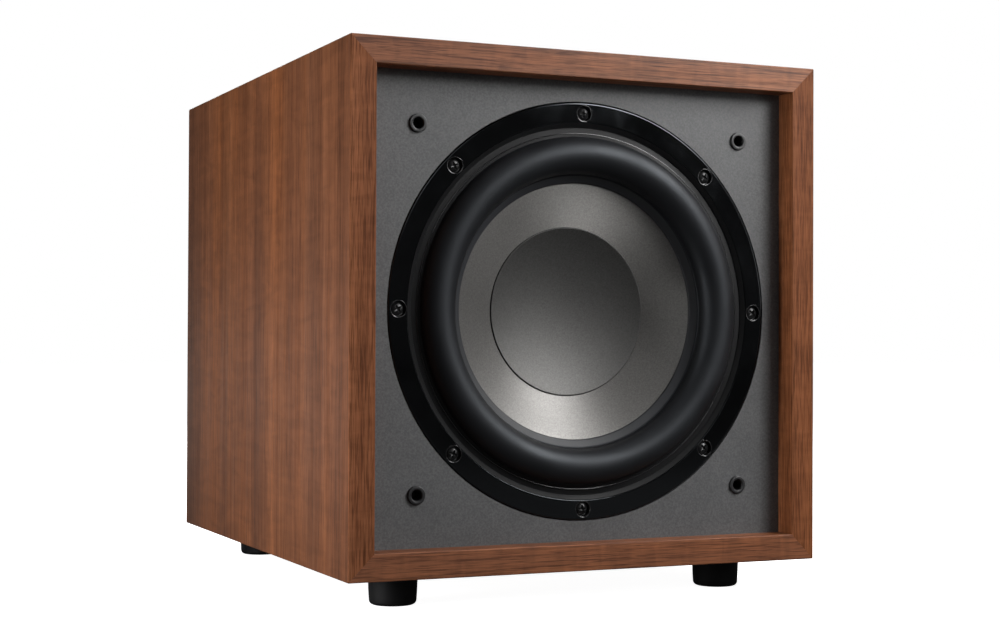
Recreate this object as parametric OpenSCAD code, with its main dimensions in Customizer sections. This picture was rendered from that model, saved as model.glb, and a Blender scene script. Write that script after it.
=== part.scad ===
// Powered subwoofer: a wood-wrapped sealed box on rubber feet, a cone driver set in a recessed
// baffle behind the place of a push-on grille, and a plate amplifier let into the rear board.
// Millimetres. +Z is up, the front faces -Y, z = 0 is the surface that the feet stand on.

/* [Cabinet] */
// Outside width of the box
cab_w = 330; // [320:1:350]
// Outside height of the box, without the feet
cab_h = 330; // [320:1:350]
// Depth of the box from the front edge to the rear face
cab_d = 392; // [380:1:430]
// Thickness of the side, top and bottom boards
board = 17; // [15:0.5:18]
// How far the baffle stands behind the front edge
recess = 16.5; // [14:0.5:20]
// Thickness of the baffle
baffle_t = 25; // [24:0.5:28]
// Thickness of the rear board
rear_t = 17; // [15:0.5:18]

/* [Feet] */
// Height of a rubber foot
foot_h = 21; // [18:1:26]
// Radius of a foot where it meets the box
foot_r = 16.4; // [15:0.1:19]
// Radius of a foot at the floor, before its rounded edge
foot_r_low = 14.9; // [13:0.1:15]
// Distance of the feet from the middle of the box
foot_x = 118; // [105:1:125]
// Distance of the front feet behind the front edge, and of the rear feet from the rear face
foot_inset = 49; // [40:1:60]

/* [Grille sockets] */
// Distance between the socket axes across the baffle
socket_span_x = 230.4; // [228:0.1:234]
// Distance between the socket axes up the baffle
socket_span_z = 230.2; // [228:0.1:234]
// Radius of the hole that a grille peg pushes into
socket_hole_r = 3.2; // [2.8:0.1:3.6]
// Outer radius of a socket's collar
socket_r = 6; // [5.5:0.1:6.5]

/* [Driver front] */
// Outer radius of the trim ring
ring_r = 134.4; // [133.8:0.1:134.6]
// Radius of the circle of driver screws
screw_circle_r = 127.4; // [127:0.1:128]
// Number of driver screws
screw_count = 8; // [6:2:8]
// Radius of the outer foot of the rubber roll
roll_out_r = 112.8; // [112.6:0.1:113]
// Radius of the inner foot of the rubber roll
roll_in_r = 88.8; // [88.4:0.1:89.2]
// Radius at which the bare cone starts
cone_r = 83.1; // [82.5:0.1:83.5]
// Radius of the concave dust cap
cap_r = 55; // [53:0.5:57]
// Depth of the concave dust cap from rim to middle
cap_sag = 9; // [6:0.5:10]

/* [Driver motor] */
// Inner radius of the voice coil former
former_r = 25; // [24.8:0.1:25.2]
// Outer radius of the magnets
magnet_r = 76; // [70:1:80]
// Thickness of one magnet ring
magnet_t = 17; // [15:1:19]

/* [Amplifier] */
// Width of the amplifier plate
plate_w = 194; // [190:1:200]
// Height of the amplifier plate
plate_h = 246; // [242:1:254]
// Thickness of the amplifier plate
plate_t = 3; // [2.5:0.5:3]
// Radius of a control knob
knob_r = 9.5; // [8:0.5:11]
// Height of a control knob
knob_h = 14; // [12:0.5:15]
// Number of heat sink fins
fin_count = 19; // [13:2:21]

/* [Hidden] */
$fn = 96;
gasket_t = 1;
knob_gap = 1;
rear_reach = gasket_t + plate_t + knob_gap + knob_h;
front_y = -(cab_d + rear_reach) / 2;
rear_y = front_y + cab_d;
baffle_y = front_y + recess;
baffle_back_y = baffle_y + baffle_t;
rear_board_y = rear_y - rear_t;
mid_z = foot_h + cab_h / 2;
inner_w = cab_w - 2 * board;
inner_h = cab_h - 2 * board;
walnut = [0.45, 0.29, 0.21];
black = [0.06, 0.06, 0.065];
steel = [0.6, 0.6, 0.6];
copper = [0.72, 0.42, 0.22];
batten_w = 18;
brace_y = -20;
eps = 0.5;

// Driver depths, measured into the box from the front face of the baffle
rebate_d = 10;
rebate_r = ring_r + 0.6;
cutout_r = 116.2;
flange_d = 3.6;
flange_back_d = 8.6;
flange_r = 134;
skin = 1.2;
glue = 0.1;
flange_skin_d = flange_d - skin;
flange_skin_r = 120.6;
ring_face_d = -0.3;
ring_in_r = 118.5;
cone_edge_d = 10.2;
cone_slope = 0.498;
cone_t = 1.2;
roll_foot_out_d = flange_skin_d;
roll_foot_in_d = cone_edge_d - (roll_in_r - cone_r) * cone_slope - skin;
neck_r = 26.6;
neck_l = 6;
former_t = 0.4;
former_front_d = 36.6;
former_back_d = 99;
coil_t = 1.7;
coil_front_d = 71;
coil_back_d = 95;
spider_d = 50.2;
spider_t = 0.8;
shelf_d = spider_d + spider_t;
plate_front_d = 78;
top_plate_t = 10;
top_plate_r = 70;
gap_r = 27.9;
pole_r = 24.2;
vent_r = 7;
magnet_hole_r = 32;
magnet_front_d = plate_front_d + top_plate_t;
yoke_d = magnet_front_d + 2 * magnet_t;
yoke_t = 8;
driver_screw_r = 2.4;
driver_screw_head_r = 4.1;
driver_screw_head_h = 3.2;
flange_hole_r = 2.8;
driver_screw_l = 20;
pocket_r = 5.25;
basket_windows = 6;
strip_angle = 30;
lead_apart = 7;

// Grille sockets
socket_depth = 12;
socket_proud = 1.5;
socket_body_r = 5;

// Amplifier, local z is measured outward from the rear face of the box
plate_z0 = gasket_t;
plate_z1 = gasket_t + plate_t;
amp_cut_w = plate_w - 24;
amp_cut_h = plate_h - 24;
amp_screw_r = 1.9;
amp_screw_head_r = 3.6;
amp_screw_l = 18;
volume_pos = [58, 84];
crossover_pos = [10, 84];
phase_pos = [-34, 76];
mode_pos = [-70, 76];
led_pos = [-52, 100];
jack_x = [60, 36];
jack_z = [44, 18];
sink_pos = [0, -36];
sink_w = 150;
sink_h = 54;
sink_base = 3;
fin_l = 9.5;
fin_t = 1.6;
inlet_pos = [-50, -94];
rocker_pos = [12, -94];
pot_shaft_r = 3;
knob_cap_t = 3;
bush_r = 3.5;
run_gap = 0.06;
control_board_z = -10;
main_board_z = -14;
board_t = 1.6;
slider_w = 4;
slider_h = 3.6;
phase_travel = 4;
mode_travel = 8;
led_r = 1.5;
jack_r = 4.15;
jack_collar_r = 5;
jack_core_r = 3.3;
jack_bore_r = 1.7;
jack_end_z = 13.5;
jack_step_z = 5.2;
rocker_tilt = 7;
rocker_pivot_z = 1;
rocker_pin_r = 1;
inlet_w = 30;
inlet_h = 29;
rocker_box_w = 13;
rocker_box_h = 19;
socket_w = 24.5;
socket_h = 16.5;
socket_z = 4.5;
drawer_w = 24;
drawer_h = 6.8;
drawer_z = -10;
inlet_face_z = plate_z1 + 3;
transformer_pos = [-36, -24];
transformer_r = 44;
transformer_post_r = 20;
transformer_h = 38;
transformer_back_z = -42;
transformer_web = 2;
main_board_pos = [46, -12];
main_board_size = [66, 104];

// ---------- Helpers ----------

// Puts a child, drawn with z as depth into the box, on the driver's axis
module at_driver() {
    translate([0, baffle_y, mid_z]) rotate([-90, 0, 0]) children();
}

// Puts a child, drawn with z outward, on the rear face at a place given from its middle
module at_rear(pos = [0, 0]) {
    translate([pos[0], rear_y, mid_z + pos[1]]) rotate([-90, 0, 0]) children();
}

// A tube along z from z0 to z1
module tube(r_out, r_in, z0, z1) {
    translate([0, 0, z0]) difference() {
        cylinder(r = r_out, h = z1 - z0);
        translate([0, 0, -eps]) cylinder(r = r_in, h = z1 - z0 + 2 * eps);
    }
}

// A rod along z from z0 to z1
module rod(r, z0, z1) {
    translate([0, 0, z0]) cylinder(r = r, h = z1 - z0);
}

// A block centred on z, size w by h, from z0 to z1
module slab(w, h, z0, z1) {
    translate([-w / 2, -h / 2, z0]) cube([w, h, z1 - z0]);
}

// A square outline with round corners, from plain squares and circles
module round_square(w, h, r) {
    square([w - 2 * r, h], center = true);
    square([w, h - 2 * r], center = true);
    for (sx = [-1, 1], sy = [-1, 1])
        translate([sx * (w / 2 - r), sy * (h / 2 - r)]) circle(r = r);
}

// Repeats a child round the z axis
module around(count, first = 0) {
    for (i = [0 : count - 1]) rotate([0, 0, first + i * 360 / count]) children();
}

// A pan-head screw along z: its head stands from z0 toward -z and its shank runs toward +z
module pan_screw(shank_r, shank_l, head_r, head_h) {
    cross_w = head_r * 0.28;
    difference() {
        translate([0, 0, -head_h]) intersection() {
            cylinder(r = head_r, h = head_h);
            translate([0, 0, head_r * 1.9]) sphere(r = head_r * 1.9);
        }
        for (a = [0, 90])
            rotate([0, 0, a]) slab(head_r * 1.15, cross_w, -head_h - eps, -head_h * 0.4);
    }
    rod(shank_r, 0, shank_l);
}

// Points of a smooth route through hand-picked points
function bend(p0, p1, p2, p3, t) =
    0.5 * (2 * p1 + (p2 - p0) * t + (2 * p0 - 5 * p1 + 4 * p2 - p3) * t * t
    + (3 * p1 - p0 - 3 * p2 + p3) * t * t * t);
function route(p, steps) = [
    for (i = [0 : len(p) - 2], s = [0 : steps - 1])
        bend(p[max(i - 1, 0)], p[i], p[i + 1], p[min(i + 2, len(p) - 1)], s / steps),
    p[len(p) - 1]
];
function unit(v) = v / norm(v);
function heading(p, i) = unit(p[min(i + 1, len(p) - 1)] - p[max(i - 1, 0)]);

// A round lead swept along a route, as one closed polyhedron
module lead(p, r, sides = 8) {
    side_on = [0, 0, 1];
    rings = [
        for (i = [0 : len(p) - 1])
            let (h = heading(p, i), u = unit(cross(h, side_on)), v = cross(h, u))
                for (k = [0 : sides - 1])
                    p[i] + r * (cos(k * 360 / sides) * u + sin(k * 360 / sides) * v)
    ];
    last = (len(p) - 1) * sides;
    faces = concat(
        [[for (k = [0 : sides - 1]) k]],
        [[for (k = [sides - 1 : -1 : 0]) last + k]],
        [
            for (i = [0 : len(p) - 2], k = [0 : sides - 1])
                let (n = (k + 1) % sides, a = i * sides, b = a + sides) [a + n, a + k, b + k, b + n]
        ]
    );
    polyhedron(points = rings, faces = faces, convexity = 4);
}

// ---------- Cabinet ----------

// One mitred board: its outer face is the top of the box before it is turned into place
module mitred_board(width) {
    rotate([-90, 0, 0]) linear_extrude(cab_d)
        polygon([
            [-width / 2, 0], [width / 2, 0],
            [width / 2 - board, board], [-width / 2 + board, board]
        ]);
}

module wall(turn, width, reach) {
    translate([0, front_y, mid_z]) rotate([0, turn, 0]) translate([0, 0, reach]) mitred_board(width);
}

module top_panel() {
    color(walnut) wall(0, cab_w, cab_h / 2);
}

module bottom_panel() {
    pilot_r = 2.5;
    color(walnut) difference() {
        wall(180, cab_w, cab_h / 2);
        at_feet() rod(pilot_r, foot_h - eps, foot_h + 14);
    }
}

module left_panel() {
    color(walnut) wall(-90, cab_h, cab_w / 2);
}

module right_panel() {
    color(walnut) wall(90, cab_h, cab_w / 2);
}

module front_baffle() {
    color([0.2, 0.2, 0.21]) difference() {
        translate([-inner_w / 2, baffle_y, mid_z - inner_h / 2]) cube([inner_w, baffle_t, inner_h]);
        at_driver() {
            rod(rebate_r, -eps, rebate_d);
            rod(cutout_r, 0, baffle_t + eps);
            around(screw_count)
                translate([screw_circle_r, 0, 0]) rod(driver_screw_r + 0.1, 0, baffle_t + eps);
        }
        at_sockets() rod(socket_body_r, -eps, socket_depth);
    }
}

module rear_panel() {
    color(walnut) difference() {
        translate([-inner_w / 2, rear_board_y, mid_z - inner_h / 2]) cube([inner_w, rear_t, inner_h]);
        at_rear() slab(amp_cut_w, amp_cut_h, -rear_t - eps, eps);
        at_amp_screws() rod(amp_screw_r + 0.1, -rear_t - eps, eps);
    }
}

module window_brace() {
    brace_t = 17;
    window = 200;
    color([0.62, 0.5, 0.36]) difference() {
        translate([-inner_w / 2, brace_y, mid_z - inner_h / 2]) cube([inner_w, brace_t, inner_h]);
        translate([0, brace_y - eps, mid_z]) rotate([-90, 0, 0])
            linear_extrude(brace_t + 2 * eps) round_square(window, window, 30);
    }
}

// Four glued strips round the inside of the box, from y0 to y1, each strip wide by its own thickness
module battens(strip, y0, y1) {
    half_w = inner_w / 2;
    half_h = inner_h / 2;
    corner_gap = 1;
    long_w = inner_w - 2 * (strip + corner_gap);
    for (side = [-1, 1]) {
        translate([side * (half_w - strip / 2) - strip / 2, y0, mid_z - half_h])
            cube([strip, y1 - y0, inner_h]);
        translate([-long_w / 2, y0, mid_z + side * (half_h - strip / 2) - strip / 2])
            cube([long_w, y1 - y0, strip]);
    }
}

module baffle_battens() {
    color([0.7, 0.58, 0.4]) battens(batten_w, baffle_back_y, baffle_back_y + batten_w);
}

module rear_battens() {
    color([0.7, 0.58, 0.4]) battens(batten_w, rear_board_y - batten_w, rear_board_y);
}

module damping_wadding() {
    pad_t = 15;
    pad_y0 = baffle_back_y + batten_w + 4;
    pad_y1 = brace_y - 4;
    color([0.85, 0.84, 0.78]) battens(pad_t, pad_y0, pad_y1);
}

// ---------- Feet ----------

function foot_y(end) = end < 0 ? front_y + foot_inset : rear_y - foot_inset;

module at_foot(side, end) {
    translate([side * foot_x, foot_y(end), 0]) children();
}

module at_feet() {
    for (side = [-1, 1], end = [-1, 1]) at_foot(side, end) children();
}

module foot() {
    edge = 3;
    well_r = 6.5;
    well_h = 9;
    hole_r = 2.6;
    arc = [for (a = [-90 : 15 : 0]) [foot_r_low - edge + edge * cos(a), edge + edge * sin(a)]];
    color(black) rotate_extrude()
        polygon(concat(
            [[hole_r, foot_h], [hole_r, well_h], [well_r, well_h], [well_r, 0]],
            arc,
            [[foot_r, foot_h]]
        ));
}

module foot_front_left() {
    at_foot(-1, -1) foot();
}

module foot_front_right() {
    at_foot(1, -1) foot();
}

module foot_rear_left() {
    at_foot(-1, 1) foot();
}

module foot_rear_right() {
    at_foot(1, 1) foot();
}

module foot_screws() {
    well_h = 9;
    color(steel) at_feet() translate([0, 0, well_h]) pan_screw(2.4, foot_h - well_h + 13, 5, 3.2);
}

// ---------- Grille sockets ----------

module at_sockets() {
    for (sx = [-1, 1], sz = [-1, 1])
        at_driver() translate([sx * socket_span_x / 2, sz * socket_span_z / 2, 0]) children();
}

module grille_sockets() {
    lip = 0.5;
    color(black) at_sockets() rotate_extrude()
        polygon([
            [socket_hole_r, -socket_proud + lip], [socket_hole_r + lip, -socket_proud],
            [socket_r - lip, -socket_proud], [socket_r, -socket_proud + lip], [socket_r, 0],
            [socket_body_r, 0], [socket_body_r, socket_depth - 1], [0, socket_depth - 1],
            [0, socket_depth - 2], [socket_hole_r, socket_depth - 2]
        ]);
}

// ---------- Driver ----------

function arc_point(mid, r, a) = mid + r * [cos(a), sin(a)];
function cone_d(r) = cone_edge_d + (cone_r - r) * cone_slope;

module driver_gasket() {
    color(black) at_driver() difference() {
        tube(flange_r, cutout_r, flange_back_d, rebate_d);
        around(screw_count)
            translate([screw_circle_r, 0, 0]) rod(flange_hole_r, flange_back_d - eps, rebate_d + eps);
    }
}

module driver_basket() {
    window_w = 74;
    window_front = 14;
    window_back = 46;
    window_r = 100;
    window_l = 80;
    wall_t = 3;
    mouth_r = 112.5;
    shelf_in_r = 72.4;
    shelf_out_r = 83.4;
    floor_in_r = 34;
    floor_out_r = 66.8;
    floor_d = plate_front_d - wall_t;
    color([0.1, 0.1, 0.105]) at_driver() difference() {
        rotate_extrude() polygon([
            [mouth_r, flange_d], [flange_r, flange_d], [flange_r, flange_back_d],
            [mouth_r + wall_t, flange_back_d], [shelf_out_r + wall_t, shelf_d + wall_t],
            [shelf_in_r + wall_t, shelf_d + wall_t], [top_plate_r, floor_d],
            [top_plate_r, plate_front_d], [floor_in_r, plate_front_d], [floor_in_r, floor_d],
            [floor_out_r, floor_d], [shelf_in_r, shelf_d], [shelf_out_r, shelf_d],
            [mouth_r, flange_back_d - wall_t / 2]
        ]);
        around(basket_windows, strip_angle)
            translate([window_r, 0, 0]) slab(window_l, window_w, window_front, window_back);
        around(screw_count)
            translate([screw_circle_r, 0, 0]) rod(flange_hole_r, flange_d - eps, flange_back_d + eps);
    }
}

module trim_ring() {
    edge = 0.9;
    lip = 0.5;
    bevel_r = 122;
    color([0.02, 0.02, 0.02]) at_driver() difference() {
        rotate_extrude() polygon([
            [ring_in_r, flange_skin_d], [ring_in_r, flange_skin_d - lip],
            [bevel_r - lip, ring_face_d + lip], [bevel_r, ring_face_d], [ring_r - edge, ring_face_d],
            [ring_r, ring_face_d + edge], [ring_r, flange_d], [flange_skin_r + glue, flange_d],
            [flange_skin_r + glue, flange_skin_d]
        ]);
        around(screw_count)
            translate([screw_circle_r, 0, 0]) rod(pocket_r, ring_face_d - eps, flange_d + eps);
    }
}

module surround() {
    roll_mid = [(roll_out_r + roll_in_r) / 2, (roll_foot_out_d + roll_foot_in_d) / 2];
    chord = [roll_out_r - roll_in_r, roll_foot_out_d - roll_foot_in_d];
    roll_r = norm(chord) / 2;
    lean = atan2(chord[1], chord[0]);
    lip_r = roll_in_r + skin;
    bead = 0.4;
    steps = 24;
    crown = [for (i = [1 : steps]) arc_point(roll_mid, roll_r, lean - 180 * i / steps)];
    hollow = [for (i = [0 : steps]) arc_point(roll_mid, roll_r - skin, lean - 180 + 180 * i / steps)];
    color([0.09, 0.09, 0.095]) at_driver() rotate_extrude()
        polygon(concat(
            [
                [roll_out_r - skin, flange_d], [flange_skin_r, flange_d],
                [flange_skin_r, flange_skin_d], [roll_out_r + bead, flange_skin_d],
                [roll_out_r + bead, flange_skin_d - bead]
            ],
            crown,
            [[cone_r, cone_edge_d - skin], [cone_r, cone_edge_d - glue], [lip_r, cone_d(lip_r) - glue]],
            hollow
        ));
}

module cone() {
    rim_r = roll_in_r + skin;
    hole_r = former_r + former_t;
    color([0.62, 0.62, 0.63]) at_driver() rotate_extrude()
        polygon([
            [rim_r, cone_d(rim_r)], [hole_r, cone_d(hole_r)], [hole_r, cone_d(hole_r) + neck_l],
            [neck_r, cone_d(hole_r) + neck_l], [neck_r, cone_d(neck_r) + cone_t],
            [rim_r, cone_d(rim_r) + cone_t]
        ]);
}

module dust_cap() {
    cap_t = 1;
    bowl_r = (cap_r * cap_r + cap_sag * cap_sag) / (2 * cap_sag);
    rim_d = cone_d(cap_r) - cap_t - 0.1;
    color([0.62, 0.62, 0.63]) at_driver() rotate_extrude() intersection() {
        translate([0, rim_d + cap_sag - bowl_r]) difference() {
            circle(r = bowl_r + cap_t, $fn = 360);
            circle(r = bowl_r, $fn = 360);
        }
        translate([0, rim_d - 2]) square([cap_r, cap_sag + 6]);
    }
}

module voice_coil_former() {
    color([0.75, 0.62, 0.35]) at_driver()
        tube(former_r + former_t, former_r, former_front_d, former_back_d);
}

module voice_coil_winding() {
    color(copper) at_driver()
        tube(former_r + former_t + coil_t, former_r + former_t, coil_front_d, coil_back_d);
}

module spider() {
    in_r = former_r + former_t + glue;
    out_r = 82;
    flat_in = 3;
    flat_out = 12;
    waves = 5;
    steps = 40;
    swing = 1.8;
    first = in_r + flat_in;
    span = out_r - flat_out - first;
    wave = [for (i = [0 : steps]) [first + span * i / steps, swing * sin(360 * waves * i / steps)]];
    front = concat([[in_r, 0]], wave, [[out_r, 0]]);
    outline = concat(
        [for (p = front) [p[0], p[1] + spider_d]],
        [for (i = [len(front) - 1 : -1 : 0]) [front[i][0], front[i][1] + spider_d + spider_t]]
    );
    color([0.75, 0.6, 0.3]) at_driver() rotate_extrude() polygon(outline);
}

module top_plate() {
    color(steel) at_driver() tube(top_plate_r, gap_r, plate_front_d, magnet_front_d);
}

module magnets() {
    seam = 0.05;
    color([0.15, 0.15, 0.15]) at_driver() for (i = [0, 1])
        translate([0, 0, magnet_front_d + i * magnet_t]) tube(magnet_r, magnet_hole_r, seam, magnet_t);
}

module pole_yoke() {
    color(steel) at_driver() difference() {
        union() {
            rod(pole_r, plate_front_d - 2, yoke_d + yoke_t);
            rod(top_plate_r, yoke_d, yoke_d + yoke_t);
        }
        rod(vent_r, plate_front_d - 2 - eps, yoke_d + yoke_t + eps);
    }
}

module terminal_strip() {
    strip = [7, 26, 6];
    tab = [0.8, 6, 9];
    strip_r = 81;
    color([0.55, 0.35, 0.2]) at_driver() rotate([0, 0, strip_angle])
        translate([strip_r, 0, shelf_d + 3]) {
            slab(strip[0], strip[1], 0, strip[2]);
            for (side = [-1, 1]) translate([0, side * lead_apart, strip[2]])
                slab(tab[0], tab[1], 0, tab[2]);
        }
}

module tinsel_leads() {
    lead_r = 0.9;
    path = [
        [27.6, 0, 42.5], [38, 0, 43], [50, 0, 39], [62, 0, 36], [78, 0, 36], [90, 0, 39],
        [96, 0, 47], [94, 0, 55], [84.9, 0, 57.5]
    ];
    color(copper) at_driver() rotate([0, 0, strip_angle])
        for (side = [-1, 1]) translate([0, side * lead_apart, 0]) lead(route(path, 3), lead_r);
}

module speaker_leads() {
    wire_r = 1.2;
    apart = 6;
    end_gap = 0.4;
    path = [
        [77, -120, 137], [82, -112, 134], [87, -98, 132], [88, -78, 130], [88, -50, 128],
        [88, -20, 127], [88, 10, 128], [84, 50, 134], [77, 90, 144], [72, 125, 150], [70, 152, 152],
        [70, rear_y + main_board_z - board_t - end_gap, 152]
    ];
    color([0.6, 0.1, 0.1]) for (i = [0, 1])
        translate([0, 0, i * apart]) lead(route(path, 3), wire_r);
}

module driver_screws() {
    color(black) at_driver() around(screw_count)
        translate([screw_circle_r, 0, flange_d])
            pan_screw(driver_screw_r, driver_screw_l, driver_screw_head_r, driver_screw_head_h);
}

// ---------- Amplifier ----------

module at_amp_screws() {
    edge = 6;
    for (sx = [-1, 1], z = [-1, -0.34, 0.34, 1])
        at_rear([sx * (plate_w / 2 - edge), z * (plate_h / 2 - edge)]) children();
    for (z = [-1, 1]) at_rear([0, z * (plate_h / 2 - edge)]) children();
}

module amp_gasket() {
    color(black) difference() {
        at_rear() slab(plate_w, plate_h, 0, gasket_t);
        at_rear() slab(amp_cut_w, amp_cut_h, -eps, gasket_t + eps);
        at_amp_screws() rod(amp_screw_r + 0.2, -eps, gasket_t + eps);
    }
}

module amp_plate() {
    fit = 0.1;
    corner_r = 6;
    hole_z0 = plate_z0 - eps;
    hole_z1 = plate_z1 + eps;
    color([0.08, 0.08, 0.085]) difference() {
        at_rear() translate([0, 0, plate_z0]) linear_extrude(plate_t)
            round_square(plate_w, plate_h, corner_r);
        at_amp_screws() rod(amp_screw_r + 2 * fit, hole_z0, hole_z1);
        for (pos = [volume_pos, crossover_pos]) at_rear(pos) rod(bush_r + fit, hole_z0, hole_z1);
        at_rear(phase_pos) slab(slider_w + phase_travel + 1.2, slider_h + 1, hole_z0, hole_z1);
        at_rear(mode_pos) slab(slider_w + mode_travel + 1.2, slider_h + 1, hole_z0, hole_z1);
        at_rear(led_pos) rod(led_r + fit, hole_z0, hole_z1);
        for (x = jack_x, z = jack_z) at_rear([x, z]) rod(jack_collar_r + fit, hole_z0, hole_z1);
        at_rear(inlet_pos) slab(inlet_w + 2 * fit, inlet_h + 2 * fit, hole_z0, hole_z1);
        at_rear(rocker_pos) slab(rocker_box_w + 2 * fit, rocker_box_h + 2 * fit, hole_z0, hole_z1);
    }
}

module heat_sink() {
    pitch = (sink_w - fin_t) / (fin_count - 1);
    color([0.07, 0.07, 0.075]) at_rear(sink_pos) {
        slab(sink_w, sink_h, plate_z1, plate_z1 + sink_base);
        for (i = [0 : fin_count - 1])
            translate([-sink_w / 2 + fin_t / 2 + i * pitch, 0, 0])
                slab(fin_t, sink_h, plate_z1, plate_z1 + sink_base + fin_l);
    }
}

module amp_screws() {
    head_h = 2.4;
    color(black) at_amp_screws() translate([0, 0, plate_z1]) mirror([0, 0, 1])
        pan_screw(amp_screw_r, amp_screw_l, amp_screw_head_r, head_h);
}

module main_board() {
    post_r = 3;
    post_inset = 5;
    color([0.1, 0.35, 0.2]) at_rear(main_board_pos) {
        slab(main_board_size[0], main_board_size[1], main_board_z - board_t, main_board_z);
        for (sx = [-1, 1])
            translate([
                sx * (main_board_size[0] / 2 - post_inset), main_board_size[1] / 2 - post_inset, 0
            ])
                rod(post_r, main_board_z - eps, plate_z0);
    }
}

module transformer() {
    bolt_hole_r = 3;
    base_z = transformer_back_z + transformer_h;
    color([0.8, 0.6, 0.15]) at_rear(transformer_pos) difference() {
        union() {
            rod(transformer_r, transformer_back_z, base_z);
            rod(transformer_post_r, base_z - eps, plate_z0);
        }
        rod(bolt_hole_r, transformer_back_z - eps, plate_z0 - transformer_web);
    }
}

module transformer_bolt() {
    washer_r = 20;
    washer_t = 2;
    nut_r = 5;
    nut_h = 4;
    bolt_r = 2.9;
    color(steel) at_rear(transformer_pos) {
        rod(washer_r, transformer_back_z - washer_t, transformer_back_z);
        rod(nut_r, transformer_back_z - washer_t - nut_h, transformer_back_z - washer_t, $fn = 6);
        rod(bolt_r, transformer_back_z - washer_t, plate_z0 - transformer_web);
    }
}

module reservoir_capacitors() {
    can_r = 12.5;
    can_h = 38;
    can_z = [-30, 2];
    color([0.12, 0.15, 0.35]) for (z = can_z)
        at_rear([main_board_pos[0], z]) rod(can_r, main_board_z - board_t - can_h, main_board_z - board_t);
}

module output_transistors() {
    case = [10, 15, 4.6];
    pitch = 13;
    z = -52;
    color([0.1, 0.1, 0.1]) for (i = [-1.5 : 1.5])
        at_rear([main_board_pos[0] + i * pitch, z]) slab(case[0], case[1], plate_z0 - case[2], plate_z0);
}

module control_board() {
    size = [164, 40];
    z = 82;
    color([0.1, 0.35, 0.2]) at_rear([0, z])
        slab(size[0], size[1], control_board_z - board_t, control_board_z);
}

// A rotary control's body and threaded bush
module pot_body() {
    case_w = 17;
    case_floor = 2;
    bush_end_z = 8;
    nut_r = 5.2;
    nut_h = 2;
    difference() {
        union() {
            slab(case_w, case_w, control_board_z, plate_z0);
            rod(bush_r, plate_z0 - eps, bush_end_z);
            rod(nut_r, plate_z1, plate_z1 + nut_h);
        }
        rod(pot_shaft_r + run_gap, control_board_z + case_floor, bush_end_z + eps);
    }
}

module knob_shaft() {
    rod(pot_shaft_r, control_board_z + 2.4, plate_z1 + knob_gap + knob_h - knob_cap_t);
}

// A skirted knob with a fluted grip and a pointer groove at the top of its face
module knob() {
    z0 = plate_z1 + knob_gap;
    z1 = z0 + knob_h;
    skirt_h = 2.5;
    step = 0.8;
    grip_r = knob_r - 1.2;
    flutes = 18;
    flute_r = 0.8;
    well_r = 6.2;
    well_h = 4.5;
    pointer_w = 1;
    pointer_depth = 0.5;
    difference() {
        union() {
            rod(knob_r, z0, z0 + skirt_h);
            translate([0, 0, z0 + skirt_h]) linear_extrude(z1 - step - z0 - skirt_h) difference() {
                circle(r = grip_r);
                around(flutes) translate([grip_r + flute_r / 2, 0]) circle(r = flute_r);
            }
            rod(grip_r - step, z1 - step, z1);
        }
        rod(well_r, z0 - eps, z0 + well_h);
        rod(pot_shaft_r, z0 + well_h - eps, z1 - knob_cap_t);
        translate([0, -knob_r / 2 - 1, 0]) slab(pointer_w, knob_r, z1 - pointer_depth, z1 + eps);
    }
}

module control_pots() {
    color(steel) for (pos = [volume_pos, crossover_pos]) at_rear(pos) pot_body();
}

module volume_shaft() {
    color(steel) at_rear(volume_pos) knob_shaft();
}

module volume_knob() {
    color(black) at_rear(volume_pos) knob();
}

module crossover_shaft() {
    color(steel) at_rear(crossover_pos) knob_shaft();
}

module crossover_knob() {
    color(black) at_rear(crossover_pos) knob();
}

// The fixed box of a slide switch, open toward the plate
module slide_box(travel) {
    ends = 14;
    box_h = 9;
    back_z = -6;
    floor_z = -4;
    slack = 0.8;
    difference() {
        slab(travel + ends, box_h, back_z, plate_z0);
        slab(slider_w + travel + slack, slider_h + slack, floor_z, plate_z0 + eps);
    }
}

module slide_button() {
    foot_z = -3.5;
    proud = 3.2;
    groove_w = 0.4;
    groove_depth = 0.4;
    difference() {
        slab(slider_w, slider_h, foot_z, plate_z1 + proud);
        for (x = [-1.2, 0, 1.2]) translate([x, 0, 0])
            slab(groove_w, slider_h + eps, plate_z1 + proud - groove_depth, plate_z1 + proud + eps);
    }
}

module slide_switches() {
    color(steel) {
        at_rear(phase_pos) slide_box(phase_travel);
        at_rear(mode_pos) slide_box(mode_travel);
    }
}

module phase_slider() {
    color(black) at_rear(phase_pos) translate([-phase_travel / 2, 0, 0]) slide_button();
}

module power_mode_slider() {
    color(black) at_rear(mode_pos) slide_button();
}

module status_led() {
    proud = 0.6;
    color([0.1, 0.4, 0.9]) at_rear(led_pos) {
        rod(led_r, control_board_z, plate_z1 + proud);
        translate([0, 0, plate_z1 + proud]) sphere(r = led_r);
    }
}

module at_jacks() {
    for (x = jack_x, z = jack_z) at_rear([x, z]) children();
}

module jack_block() {
    mid = [(jack_x[0] + jack_x[1]) / 2, (jack_z[0] + jack_z[1]) / 2];
    size = [44, 46];
    back_z = -11;
    color(black) at_rear(mid) slab(size[0], size[1], back_z, plate_z0);
}

module line_jacks() {
    color([0.85, 0.7, 0.35]) at_jacks() difference() {
        union() {
            rod(jack_collar_r, plate_z0, jack_step_z);
            rod(jack_r, plate_z0, jack_end_z);
        }
        rod(jack_core_r, jack_step_z, jack_end_z + eps);
    }
}

module jack_cores() {
    core_inset = 0.6;
    color([0.8, 0.8, 0.8]) at_jacks() tube(jack_core_r, jack_bore_r, jack_step_z, jack_end_z - core_inset);
}

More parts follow.
